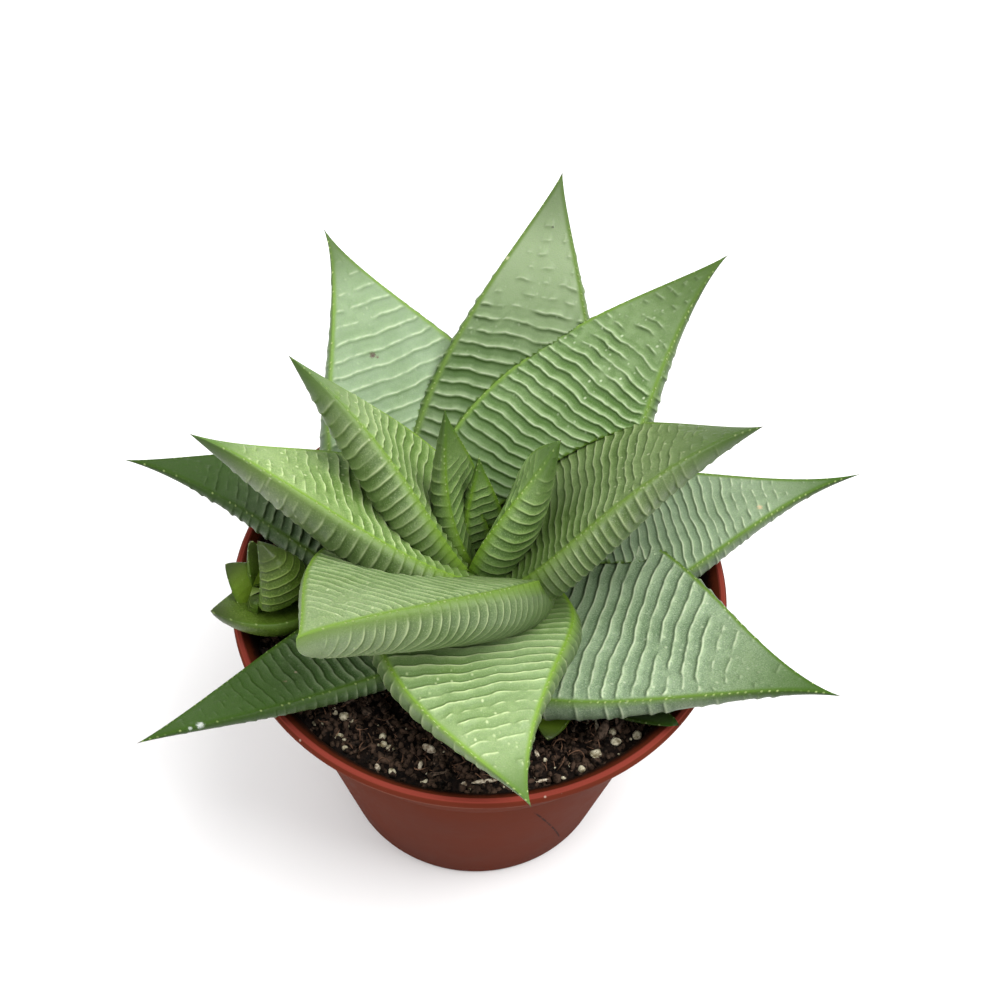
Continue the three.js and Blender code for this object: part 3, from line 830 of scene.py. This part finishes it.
# Where the lip's painted highlights start and end, on the band round its side and on its top, and where the
# seam under it lies.
LIP = {
    "band": (61.4, 61.6), "band_radius": (44.4, 44.7), "top": (62.7, 62.85),
    "seam_starts": (61.2, 61.4), "seam_ends": (61.5, 61.8), "seam_radius": (44.2, 44.6),
}

# The painted shade on the pot's inner wall keeps inside a cone: its radius at the ground, how fast it widens,
# and the heights it starts at.
INNER_SHADE = {"radius": 20.36, "widens": 0.36, "from": (50.0, 53.0)}


def pot_material():
    """Satin plastic, painted highlight on its lip, painted shade inside above the soil, a scratch and a few
    specks.
    """
    finish = Finish("pot plastic")
    spot = finish.node("ShaderNodeSeparateXYZ", {0: finish.place}).outputs
    height = finish.times(spot["Z"], 1 / MM)
    radius = finish.times(finish.length_of(spot["X"], spot["Y"]), 1 / MM)
    cloud = finish.noise(finish.place, 35.0, 4.0, 0.6)
    dust = finish.noise(finish.place, 900.0, 2.0, 0.7)
    base = finish.mixed(finish.smooth(cloud, 0.35, 0.7), POT_COLOURS["dark"], POT_COLOURS["light"])
    # Painted highlight on the band round the lip's side and on the lip's top.
    band = finish.times(finish.smooth(height, *LIP["band"]), finish.smooth(radius, *LIP["band_radius"]))
    base = finish.mixed(finish.times(band, 0.4), base, POT_COLOURS["band"])
    base = finish.mixed(finish.smooth(height, *LIP["top"]), base, POT_COLOURS["lip"])
    above = finish.smooth(height, *LIP["seam_ends"], 1.0, 0.0)
    seam = finish.times(finish.smooth(height, *LIP["seam_starts"]), above)
    seam = finish.times(seam, finish.smooth(radius, *LIP["seam_radius"]), finish.smooth(cloud, 0.4, 0.55))
    base = finish.mixed(seam, base, POT_COLOURS["seam"])
    # Painted shade on the inner wall above the soil, with a ragged edge.
    within = finish.minus(finish.plus(finish.times(height, INNER_SHADE["widens"]), INNER_SHADE["radius"]), radius)
    inner_shade = finish.smooth(finish.plus(within, finish.times(dust, 0.8)), 0.0, 0.8)
    inner_shade = finish.times(inner_shade, finish.smooth(height, *INNER_SHADE["from"]))
    base = finish.mixed(inner_shade, base, POT_COLOURS["inner_shade"])
    around = finish.math("ARCTAN2", spot["Y"], spot["X"])
    slant = finish.minus(SCRATCH["angle"], finish.times(height, SCRATCH["turn"]))
    aside = finish.size_of(finish.minus(around, slant))
    reach = finish.smooth(height, *SCRATCH["ends"], 1.0, 0.0)
    reach = finish.times(finish.smooth(height, *SCRATCH["starts"]), reach)
    line = finish.smooth(aside, *SCRATCH["edge"], 1.0, 0.0)
    scratch = finish.times(line, reach, finish.smooth(dust, 0.35, 0.5))
    base = finish.mixed(scratch, base, POT_COLOURS["scratch"])
    specks = [(centre, size, POT_COLOURS["speck"]) for centre, size in POT_SPECKS]
    base = marked(finish, base, specks, cloud)
    finish.surface(base, finish.smooth(cloud, 0.3, 0.7, 0.44, 0.54), 0.005)
    finish.bump(finish.plus(cloud, finish.times(dust, 0.15)), 0.3, 0.3)
    return finish.material


# The colours of each kind of leaf, and how strongly it reflects. The valley colour holds painted shade and
# the light colour painted light, besides the leaf's own greens.
LEAF_LOOKS = {
    "heart_leaf": {
        "valley": (0.055, 0.115, 0.012), "light": (0.17, 0.28, 0.06), "crest": (0.45, 0.57, 0.25),
        "margin": (0.13, 0.24, 0.015), "tip": (0.045, 0.1, 0.01), "shine": 0.35,
    },
    "upper_leaf": {
        "valley": (0.095, 0.18, 0.022), "light": (0.26, 0.37, 0.12), "crest": (0.6, 0.7, 0.38),
        "margin": (0.16, 0.285, 0.025), "tip": (0.06, 0.13, 0.012), "shine": 0.35,
    },
    "back_leaf": {
        "valley": (0.065, 0.14, 0.022), "light": (0.25, 0.36, 0.16), "crest": (0.55, 0.65, 0.42),
        "margin": (0.13, 0.24, 0.02), "tip": (0.05, 0.1, 0.012), "shine": 0.25,
    },
    "outer_leaf": {
        "valley": (0.065, 0.115, 0.045), "light": (0.26, 0.34, 0.19), "crest": (0.52, 0.6, 0.4),
        "margin": (0.09, 0.17, 0.015), "tip": (0.03, 0.075, 0.005), "shine": 0.15,
    },
    "offset_leaf": {
        "valley": (0.03, 0.06, 0.003), "light": (0.09, 0.16, 0.015), "crest": (0.34, 0.44, 0.13),
        "margin": (0.08, 0.15, 0.012), "tip": (0.03, 0.045, 0.01), "shine": 0.25,
    },
}

# Where a leaf's ridges and finish depart from the rest. Tones are partly painted shade: leaves that lie in
# shade or face away from the light are darker.
LEAF_FINISH = {
    "leaf_heart_3": {"Tone": 0.42},
    "leaf_heart_4": {"Tone": 0.54, "Tone below": 0.44, "Height below": 0.8},
    "leaf_upper_1": {"Pitch": 2.0, "Clearance below": 1.6, "Whole until": 0.72, "Dots": 1.0, "Tone": 0.53},
    "leaf_upper_2": {
        "Pitch": 1.7, "Ridge height": 0.3, "Height below": 0.9, "Whole until": 0.6, "Dots": 1.0,
        "Tone": 0.31, "Tone below": 0.25, "Tip start": 0.58,
    },
    "leaf_upper_3": {
        "Pitch": 2.0, "Clearance below": 2.6, "Whole until": 0.55, "Dots": 0.8,
        "Tone": 0.58, "Tone below": 0.23, "Tip start": 0.75,
    },
    "leaf_upper_4": {
        "Pitch": 1.7, "Ridge height": 0.3, "Clearance below": 2.8, "Whole until": 0.8, "Dots": 0.8,
        "Bloom": 0.3, "Tone": 0.43, "Tone below": 0.3, "Dark tip": 0.0,
    },
    "leaf_upper_5": {
        "Pitch": 2.1, "Ridge height": 0.36, "Whole until": 0.62, "Dots": 0.8, "Bloom": 0.3, "Speckle": 0.25,
        "Tone": 0.53, "Tip start": 0.8,
    },
    "leaf_back_1": {
        "Pitch": 2.1, "Whole until": 0.6, "Dots": 1.0, "Bloom": 0.0, "Speckle": 0.2, "Tone": 0.44,
    },
    "leaf_back_2": {
        "Pitch": 2.6, "Middle break": 1.0, "Whole until": 0.64, "Broken off": 0.48, "Dots": 0.3,
        "Bloom": 0.0, "Speckle": 0.1, "Tone": 0.33, "Pale tip": 1.0, "Dark tip": 0.7, "Tip start": 0.8,
    },
    "leaf_back_3": {
        "Ridge height": 0.22, "Crest strength": 0.6, "Step strength": 0.4, "Whole until": 0.8,
        "Broken off": 0.46, "Dots": 0.3, "Bloom": 0.5, "Speckle": 0.15, "Tone": 0.49, "Tip start": 0.8,
    },
    "leaf_outer_1": {
        "Pitch": 2.6, "Crest strength": 0.9, "Step strength": 0.8, "Middle break": 0.0, "Broken off": 0.46,
        "Bloom": 0.4, "Speckle": 0.6, "Tone": 0.54,
    },
    "leaf_outer_2": {
        "Pitch": 1.7, "Ridge height": 0.25, "Step strength": 0.6, "Dots": 0.2, "Bloom": 0.4, "Speckle": 0.3,
        "Tone": 0.55, "Tip start": 0.72,
    },
    "leaf_outer_3": {"Pitch": 1.9, "Tone": 0.36, "Tip start": 0.35},
    "leaf_outer_4": {
        "Pitch": 1.7, "Ridge height": 0.25, "Whole until": 0.6, "Bloom": 0.0, "Tone": 0.42, "Tip start": 0.3,
    },
    "leaf_outer_5": {"Ridge height": 0.1, "Bloom": 0.0, "Tone": 0.2, "Tone below": 0.2},
}

# Marks on the leaves: the centre and the radius in millimetres, and the colour.
LEAF_MARKS = {
    "back_leaf": [
        ((-22.1, 38.2, 81.4), 0.9, (0.06, 0.02, 0.015)),
        ((-21.2, 38.0, 81.3), 0.5, (0.08, 0.03, 0.02)),
        ((10.6, 57.4, 98.0), 0.4, (0.04, 0.04, 0.03)),
        ((2.3, 53.3, 93.5), 0.6, (0.6, 0.62, 0.35)),
    ],
    "outer_leaf": [
        ((50.4, 13.0, 72.4), 0.7, (0.5, 0.36, 0.22)),
        ((-44.4, -37.7, 72.3), 0.9, (0.62, 0.66, 0.62)),
        ((-45.9, -38.4, 72.3), 0.5, (0.5, 0.55, 0.5)),
        ((-31.9, -27.2, 70.5), 0.6, (0.3, 0.22, 0.14)),
        ((-30.3, -25.0, 69.7), 0.4, (0.35, 0.3, 0.2)),
    ],
}

# How smooth and how lime-coloured the leaves of the offsets are, and what else all of them share.
OFFSET_FINISH = {
    "upright": (0.2, 0.0), "inner": (1.0, 0.1), "outer": (0.9, 0.9), "low": (0.9, 0.1), "far": (0.9, 0.2),
    "near": (1.0, 0.9), "right": (0.9, 0.7), "left": (0.9, 0.8),
}
OFFSET_VALUES = {
    "Pitch": OFFSET["pitch"], "Ridge height": OFFSET["ridge"], "Height below": 1.0, "Kept share": 0.0,
    "Margin clearance": 0.6, "Clearance below": 0.6, "Margin width": 0.6, "Whole until": 0.75,
    "Tone": 0.43, "Tone below": 0.43, "Bloom": 0.0,
}

# How far the ridges of some leaves wander along the leaf, and how much they slant across it.
LEAF_RIDGES = {
    "leaf_outer_1": {"wave": 0.45, "skew": -0.28},
    "leaf_outer_2": {"wave": 0.45},
    "leaf_back_3": {"wave": 0.4},
}

# The noise of each leaf starts this far from that of the one before.
SEED_STEP = 7.3

# The distance from a margin that the stems of the offsets get, in millimetres, so that none has a margin.
NO_MARGIN = 5.0


def make_leaves(tree, looks):
    """Every leaf: its body, less the leaves that lie over it, with its ridges raised."""
    rooms = []
    for number, leaf in enumerate(LEAVES):
        finish = LEAF_FINISH.get(leaf["name"], {})
        leaf["pitch"] = finish.get("Pitch", leaf["pitch"])
        leaf.update(LEAF_RIDGES.get(leaf["name"], {}))
        mesh = mesh_of(leaf["name"], *leaf_parts(leaf))
        obj = link_object(leaf["name"].replace("leaf_", "ridged_"), mesh)
        for room in rooms:
            cut_by(obj, room)
        values = {"Pitch": leaf["pitch"], "Ridge height": leaf["ridge"], "Seed": SEED_STEP * number}
        values.update(finish)
        grown(obj, tree, looks[leaf["slot"]], values)
        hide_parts(leaf["name"])
        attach(obj, "root")
        rooms.append(link_object(leaf["name"] + "_room", leaf_room(leaf)))
    for room in rooms:
        bpy.data.objects.remove(room)


def post_parts(foot, top, foot_radius, top_radius, sides=24):
    """Points and faces of a round post with level ends."""
    foot = np.array(foot, float)
    top = np.array(top, float)
    angles = 2 * np.pi * np.arange(sides) / sides
    ring = np.stack([np.cos(angles), np.sin(angles), 0 * angles], axis=1)
    loops = [foot + foot_radius * ring, top + top_radius * ring]
    return np.vstack([foot, *loops, top]), stack_faces(2, sides)


def joined(parts):
    """Points, faces and attributes of several parts as one. An attribute that a part lacks is 0 on it."""
    points = []
    faces = []
    stacked = {key: [] for key in parts[-1][2]}
    start = 0
    for part_points, part_faces, attributes in parts:
        points.append(part_points)
        faces += [tuple(start + i for i in corners) for corners in part_faces]
        start += len(part_points)
        for key, values in stacked.items():
            values.append(attributes.get(key, np.zeros(len(part_points))))
    return np.vstack(points), faces, {key: np.concatenate(values) for key, values in stacked.items()}


def make_offsets(tree, looks):
    """Each offset is one piece: its post and its leaves, with their ridges raised."""
    for offset in OFFSETS:
        points, faces = post_parts(offset["foot"], offset["top"], offset["foot_radius"], offset["top_radius"])
        parts = [(points, faces, {"edge": np.full(len(points), NO_MARGIN)})]
        for leaf in offset["leaves"]:
            points, faces, attributes = leaf_parts(leaf)
            calm, lime = OFFSET_FINISH[leaf["name"]]
            attributes.update(calm=np.full(len(points), calm), lime=np.full(len(points), lime))
            parts.append((points, faces, attributes))
        obj = link_object(offset["name"] + "_ridged", mesh_of(offset["name"], *joined(parts)))
        grown(obj, tree, looks["offset_leaf"], {**OFFSET_VALUES, "Seed": offset["foot"][0]})
        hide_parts(offset["name"])
        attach(obj, "root")


def level_ring(radius, height, sides):
    """Points of a level ring round the Z axis."""
    angles = 2 * np.pi * np.arange(sides) / sides
    return np.stack([radius * np.cos(angles), radius * np.sin(angles), np.full(sides, height)], axis=1)


def make_pot(material):
    """The shell, turned from its profile, with the drain holes cut through its base."""
    rings = [level_ring(radius, z, POT_SIDES) for radius, z in POT_PROFILE]
    first = [0, 0, POT_PROFILE[0][1]]
    last = [0, 0, POT_PROFILE[-1][1]]
    shell = np.vstack([[first], *rings, [last]])
    obj = link_object("pot_shell", mesh_of("pot_shell", shell, stack_faces(len(rings), POT_SIDES)))
    obj.data.set_sharp_from_angle(angle=math.radians(40))
    cutters = []
    for i in range(DRAIN["count"]):
        angle = 2 * math.pi * (i + 0.5) / DRAIN["count"]
        x = DRAIN["circle"] * math.cos(angle)
        y = DRAIN["circle"] * math.sin(angle)
        points, faces = post_parts((x, y, -2), (x, y, 5), DRAIN["radius"], DRAIN["radius"], 32)
        cutter = link_object(f"drain_{i}", mesh_of(f"drain_{i}", points, faces))
        cut_by(obj, cutter)
        cutters.append(cutter)
    keep_evaluated(obj)
    for cutter in cutters:
        bpy.data.objects.remove(cutter)
    obj.data.materials.clear()
    obj.data.materials.append(material)
    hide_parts("pot")
    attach(obj, "root")


def wall_radius(z):
    """The radius of the pot's inner wall at a height below its collar."""
    return lerp(*POT_WALL["radii"], z / POT_WALL["height"]) - POT_WALL["wall"]


def soil_height(x, y):
    """The height of the soil before its crumbs."""
    r = np.hypot(x, y)
    height = SOIL["level"] - SOIL["slope"] * x
    height = height - SOIL["dip"] * (1 - smoothstep(r, SOIL["dip_inner"], SOIL["dip_outer"]))
    for offset in OFFSETS:
        away = np.hypot(x - offset["foot"][0], y - offset["foot"][1])
        hollow = 1 - smoothstep(away, SOIL["hollow_radius"] / 2, SOIL["hollow_radius"])
        height = height - SOIL["hollow"] * hollow
    height = height + BANK["height"] * smoothstep(r, *BANK["radius"]) * smoothstep(-x, *BANK["left"])
    crumbs = np.sin(0.9 * x + 1.3 * np.sin(0.7 * y)) * np.sin(0.8 * y + 1.1 * np.cos(0.6 * x))
    return height + SOIL["lump"] * crumbs


def crumble_tree():
    """Roughens a surface. A lump and the height of the noise are in millimetres."""
    tree = Relief("crumble", {"Lump": 3.0, "Height": 1.2})
    place = tree.node("GeometryNodeInputPosition").outputs[0]
    scale = tree.math("DIVIDE", 1 / MM, tree.given["Lump"])
    rough = tree.minus(tree.noise(place, scale, 4.0, 0.7), 0.5)
    return tree.finish(tree.raised(tree.given["Geometry"], tree.times(rough, tree.given["Height"], 2 * MM)))


def scatter_tree():
    """Strews a grain over the top of the soil, outside a bare middle."""
    tree = Relief("potting mix", {
        "Grain": None, "Grains per square millimetre": 0.3, "Smallest": 0.6, "Largest": 1.6,
        "Bare middle": 18.0, "Outer limit": 40.0, "Flatness": 0.0, "Roughness": 0.3, "Seed": 1,
    })
    given = tree.given
    place = tree.node("GeometryNodeInputPosition").outputs[0]
    spot = tree.node("ShaderNodeSeparateXYZ", {0: place}).outputs
    away = tree.length_of(spot["X"], spot["Y"])
    outside = tree.math("GREATER_THAN", away, tree.times(given["Bare middle"], MM))
    outside = tree.times(outside, tree.math("LESS_THAN", away, tree.times(given["Outer limit"], MM)))
    high = tree.math("GREATER_THAN", spot["Z"], SOIL_MESH["grains_above"] * MM)
    strewn = {
        "Mesh": given["Geometry"],
        "Selection": tree.times(outside, high),
        "Density": tree.times(given["Grains per square millimetre"], 1 / MM**2),
        "Seed": given["Seed"],
    }
    strewn = tree.node("GeometryNodeDistributePointsOnFaces", strewn, distribute_method="RANDOM")
    full = 2 * math.pi
    tilt = tree.times(tree.minus(1.0, given["Flatness"]), full)
    turn = {"Max": tree.vector(tilt, tilt, full), "Seed": given["Seed"]}
    turn = tree.node("FunctionNodeRandomValue", turn, data_type="FLOAT_VECTOR").outputs[0]
    size = tree.node("FunctionNodeRandomValue", {"Seed": given["Seed"]}, data_type="FLOAT")
    tree.feed(open_socket(size.inputs, "Min"), given["Smallest"])
    tree.feed(open_socket(size.inputs, "Max"), given["Largest"])
    size = [socket for socket in size.outputs if socket.enabled][0]
    shape = tree.node("GeometryNodeObjectInfo", {"Object": given["Grain"]}).outputs["Geometry"]
    placed = {"Points": strewn.outputs["Points"], "Instance": shape, "Rotation": turn, "Scale": size}
    placed = tree.node("GeometryNodeInstanceOnPoints", placed).outputs[0]
    real = tree.node("GeometryNodeRealizeInstances", {"Geometry": placed}).outputs[0]
    rough = tree.minus(tree.noise(place, 1100.0, 3.0, 0.7), 0.5)
    return tree.finish(tree.raised(real, tree.times(rough, given["Roughness"], 2 * MM)))


def make_soil(material):
    """The mound: straight sides down the pot, and a top drawn as rings that crumble."""
    sides = SOIL_MESH["sides"]
    loops = [level_ring(wall_radius(z) - SOIL_MESH["gap"], z, sides) for z in SOIL_MESH["side_heights"]]
    for k in range(SOIL_MESH["rings"]):
        ring = level_ring(SOIL_MESH["top_radius"] * (1 - k / SOIL_MESH["rings"]), 0, sides)
        ring[:, 2] = soil_height(ring[:, 0], ring[:, 1])
        loops.append(ring)
    foot = [0, 0, SOIL_MESH["side_heights"][0]]
    points = np.vstack([[foot], *loops, [[0, 0, float(soil_height(0.0, 0.0))]]])
    obj = link_object("soil_mound", mesh_of("soil_mound", points, stack_faces(len(loops), sides)))
    grown(obj, crumble_tree(), material, {"Lump": 3.5, "Height": 1.5})
    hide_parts("soil")
    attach(obj, "root")


def ball_grain(name, stretch, detail=2):
    """A rounded lump, one millimetre in radius before it is stretched."""
    mesh = bpy.data.meshes.new(name)
    shape = bmesh.new()
    bmesh.ops.create_icosphere(shape, subdivisions=detail, radius=MM)
    bmesh.ops.scale(shape, vec=stretch, verts=shape.verts)
    shape.to_mesh(mesh)
    shape.free()
    mesh.shade_smooth()
    return link_object(name, mesh)


def curl_grain(name, length, radius, bend):
    """A thin curved fibre with four sides."""
    loops = []
    for turn in np.linspace(-0.5, 0.5, 8):
        angle = bend * turn
        centre = np.array([length * turn, length * 0.35 * math.cos(angle * 1.6), 0.3 * math.sin(5 * turn)])
        thin = radius * (1 - 0.7 * abs(2 * turn) ** 3)
        corners = [(0, thin, 0), (0, 0, thin), (0, -thin, 0), (0, 0, -thin)]
        loops.append(centre + np.array(corners))
    points = np.vstack([loops[0].mean(axis=0)[None], *loops, loops[-1].mean(axis=0)[None]])
    return link_object(name, mesh_of(name, points, stack_faces(len(loops), 4)))


def make_mix():
    """Crumbs, fibres, white grains and bark chips lying on the soil."""
    tree = scatter_tree()
    brown = plain_material("soil crumbs", (0.0025, 0.0018, 0.0013), (0.07, 0.043, 0.029), 0.75, 1.6, 0.5)
    coir = plain_material("coir fibres", (0.015, 0.008, 0.005), (0.19, 0.105, 0.065), 0.7, 2.2, 0.2)
    white = plain_material("white grains", (0.16, 0.13, 0.07), (0.6, 0.55, 0.4), 0.8, 0.8, 0.4)
    bark = plain_material("bark chips", (0.01, 0.007, 0.005), (0.16, 0.11, 0.08), 0.7, 0.9, 0.5)
    crumb = ball_grain("crumb", (1.3, 0.9, 0.7), 1)
    curl = curl_grain("curl", 4.0, 0.17, 2.2)
    pearl = ball_grain("pearl", (1.1, 1.0, 0.9))
    splinter = ball_grain("splinter", (3.4, 1.1, 0.45))
    keys = (
        "Grains per square millimetre", "Smallest", "Largest", "Bare middle", "Outer limit", "Flatness",
        "Roughness", "Seed",
    )
    kinds = [
        ("soil_crumbs", crumb, brown, 1.1, 0.2, 0.9, 14.0, 40.2, 0.0, 0.9, 1),
        ("coir_fibres", curl, coir, 0.28, 0.3, 1.0, 16.0, 38.5, 0.6, 0.15, 2),
        ("white_grains", pearl, white, 0.05, 0.15, 0.45, 20.0, 40.0, 0.0, 0.6, 3),
        ("bark_chips", splinter, bark, 0.025, 0.5, 1.1, 16.0, 37.0, 0.8, 0.8, 4),
    ]
    for name, grain, material, *values in kinds:
        obj = link_object(name, bpy.data.objects["soil_mound"].data.copy())
        obj.data.materials.clear()
        grown(obj, tree, material, {"Grain": grain, **dict(zip(keys, values))})
        bpy.data.objects.remove(grain)
        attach(obj, "root")
    pale = plain_material("splintered wood", (0.2, 0.15, 0.1), (0.62, 0.55, 0.42), 0.75, 0.6, 0.4)
    for name, spots, material in (("white_lumps", WHITE_LUMPS, white), ("splinters", SPLINTERS, pale)):
        obj = lumps(name, spots)
        grown(obj, crumble_tree(), material, {"Lump": 0.7, "Height": 0.4})
        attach(obj, "root")


def lumps(name, spots):
    """Lumps at places on the soil. A spot is x, y, half the length, width and height, and the turn."""
    ball = ball_grain("ball", (1, 1, 1))
    around = np.array([vertex.co for vertex in ball.data.vertices]) / MM
    corners = [tuple(face.vertices) for face in ball.data.polygons]
    bpy.data.objects.remove(ball)
    parts = []
    for x, y, long, wide, high, turn in spots:
        angle = math.radians(turn)
        flat = around * (long, wide, high)
        turned_x = flat[:, 0] * math.cos(angle) - flat[:, 1] * math.sin(angle)
        turned_y = flat[:, 0] * math.sin(angle) + flat[:, 1] * math.cos(angle)
        z = float(soil_height(x, y)) + LUMP_RISE * high
        parts.append((np.stack([turned_x + x, turned_y + y, flat[:, 2] + z], axis=1), corners, {}))
    return link_object(name, mesh_of(name, *joined(parts)))


def make_stem(material):
    """The short stem that every leaf grows from."""
    points, faces = post_parts(STEM["foot"], STEM["crown"], STEM["foot_radius"], STEM["crown_radius"], 32)
    obj = link_object("stem_core", mesh_of("stem_core", points, faces))
    obj.data.materials.append(material)
    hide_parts("stem")
    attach(obj, "root")


def make_camera():
    """Looks down at the pot, turned a little round its own axis."""
    data = bpy.data.cameras.new("camera")
    data.sensor_width = CAMERA["sensor"]
    data.lens = CAMERA["lens"]
    camera = link_object("camera", data)
    place = Vector(CAMERA["place"]) * MM
    aim = Vector(CAMERA["aim"]) * MM
    turn = (aim - place).to_track_quat("-Z", "Y").to_matrix().to_4x4()
    roll = Matrix.Rotation(math.radians(CAMERA["roll"]), 4, "Z")
    camera.matrix_world = Matrix.Translation(place) @ turn @ roll
    bpy.context.scene.camera = camera


def make_stage():
    """A wide pale floor, an even white sky and two soft lights. Lengths are in metres here."""
    finish = Finish("floor")
    grain = finish.noise(finish.place, 30.0)
    pale = finish.mixed(grain, (0.9, 0.9, 0.9), (0.92, 0.92, 0.92))
    finish.surface(pale, finish.smooth(grain, 0.0, 1.0, 0.8, 0.9))
    mesh = bpy.data.meshes.new("floor")
    reach = 3.0
    corners = [(-reach, -reach, 0), (reach, -reach, 0), (reach, reach, 0), (-reach, reach, 0)]
    mesh.from_pydata(corners, [], [(0, 1, 2, 3)])
    mesh.materials.append(finish.material)
    floor = link_object("floor", mesh)
    world = bpy.data.worlds.new("studio")
    world.use_nodes = True
    world.node_tree.nodes["Background"].inputs["Color"].default_value = (1, 1, 1, 1)
    world.node_tree.nodes["Background"].inputs["Strength"].default_value = 0.78
    bpy.context.scene.world = world
    make_light("key_light", (0.6, -0.1, 1.35), 1.0, 23.0)
    make_light("fill_light", (-0.9, -0.4, 1.2), 1.2, 9.0)


def make_light(name, place, size, energy):
    """A square soft light that looks at the plant."""
    data = bpy.data.lights.new(name, "AREA")
    data.size = size
    data.energy = energy
    light = link_object(name, data)
    light.location = place
    light.rotation_euler = (Vector((0, 0, 0.06)) - light.location).to_track_quat("-Z", "Y").to_euler()


looks = {slot: leaf_material(slot, look, LEAF_MARKS.get(slot, [])) for slot, look in LEAF_LOOKS.items()}
tree = washboard_tree()
make_leaves(tree, looks)
make_offsets(tree, looks)
make_pot(pot_material())
# The mound is almost black: the soil's own dark colour and painted shade in the gaps between the grains on
# it.
make_soil(plain_material("soil", (0.0015, 0.001, 0.0008), (0.012, 0.007, 0.005), 0.8, 0.9, 0.8))
make_stem(plain_material("stem", (0.12, 0.2, 0.05), (0.25, 0.34, 0.12), 0.5, 2.0, 0.2))
make_mix()
make_camera()
make_stage()
bpy.context.scene.view_settings.view_transform = "Standard"
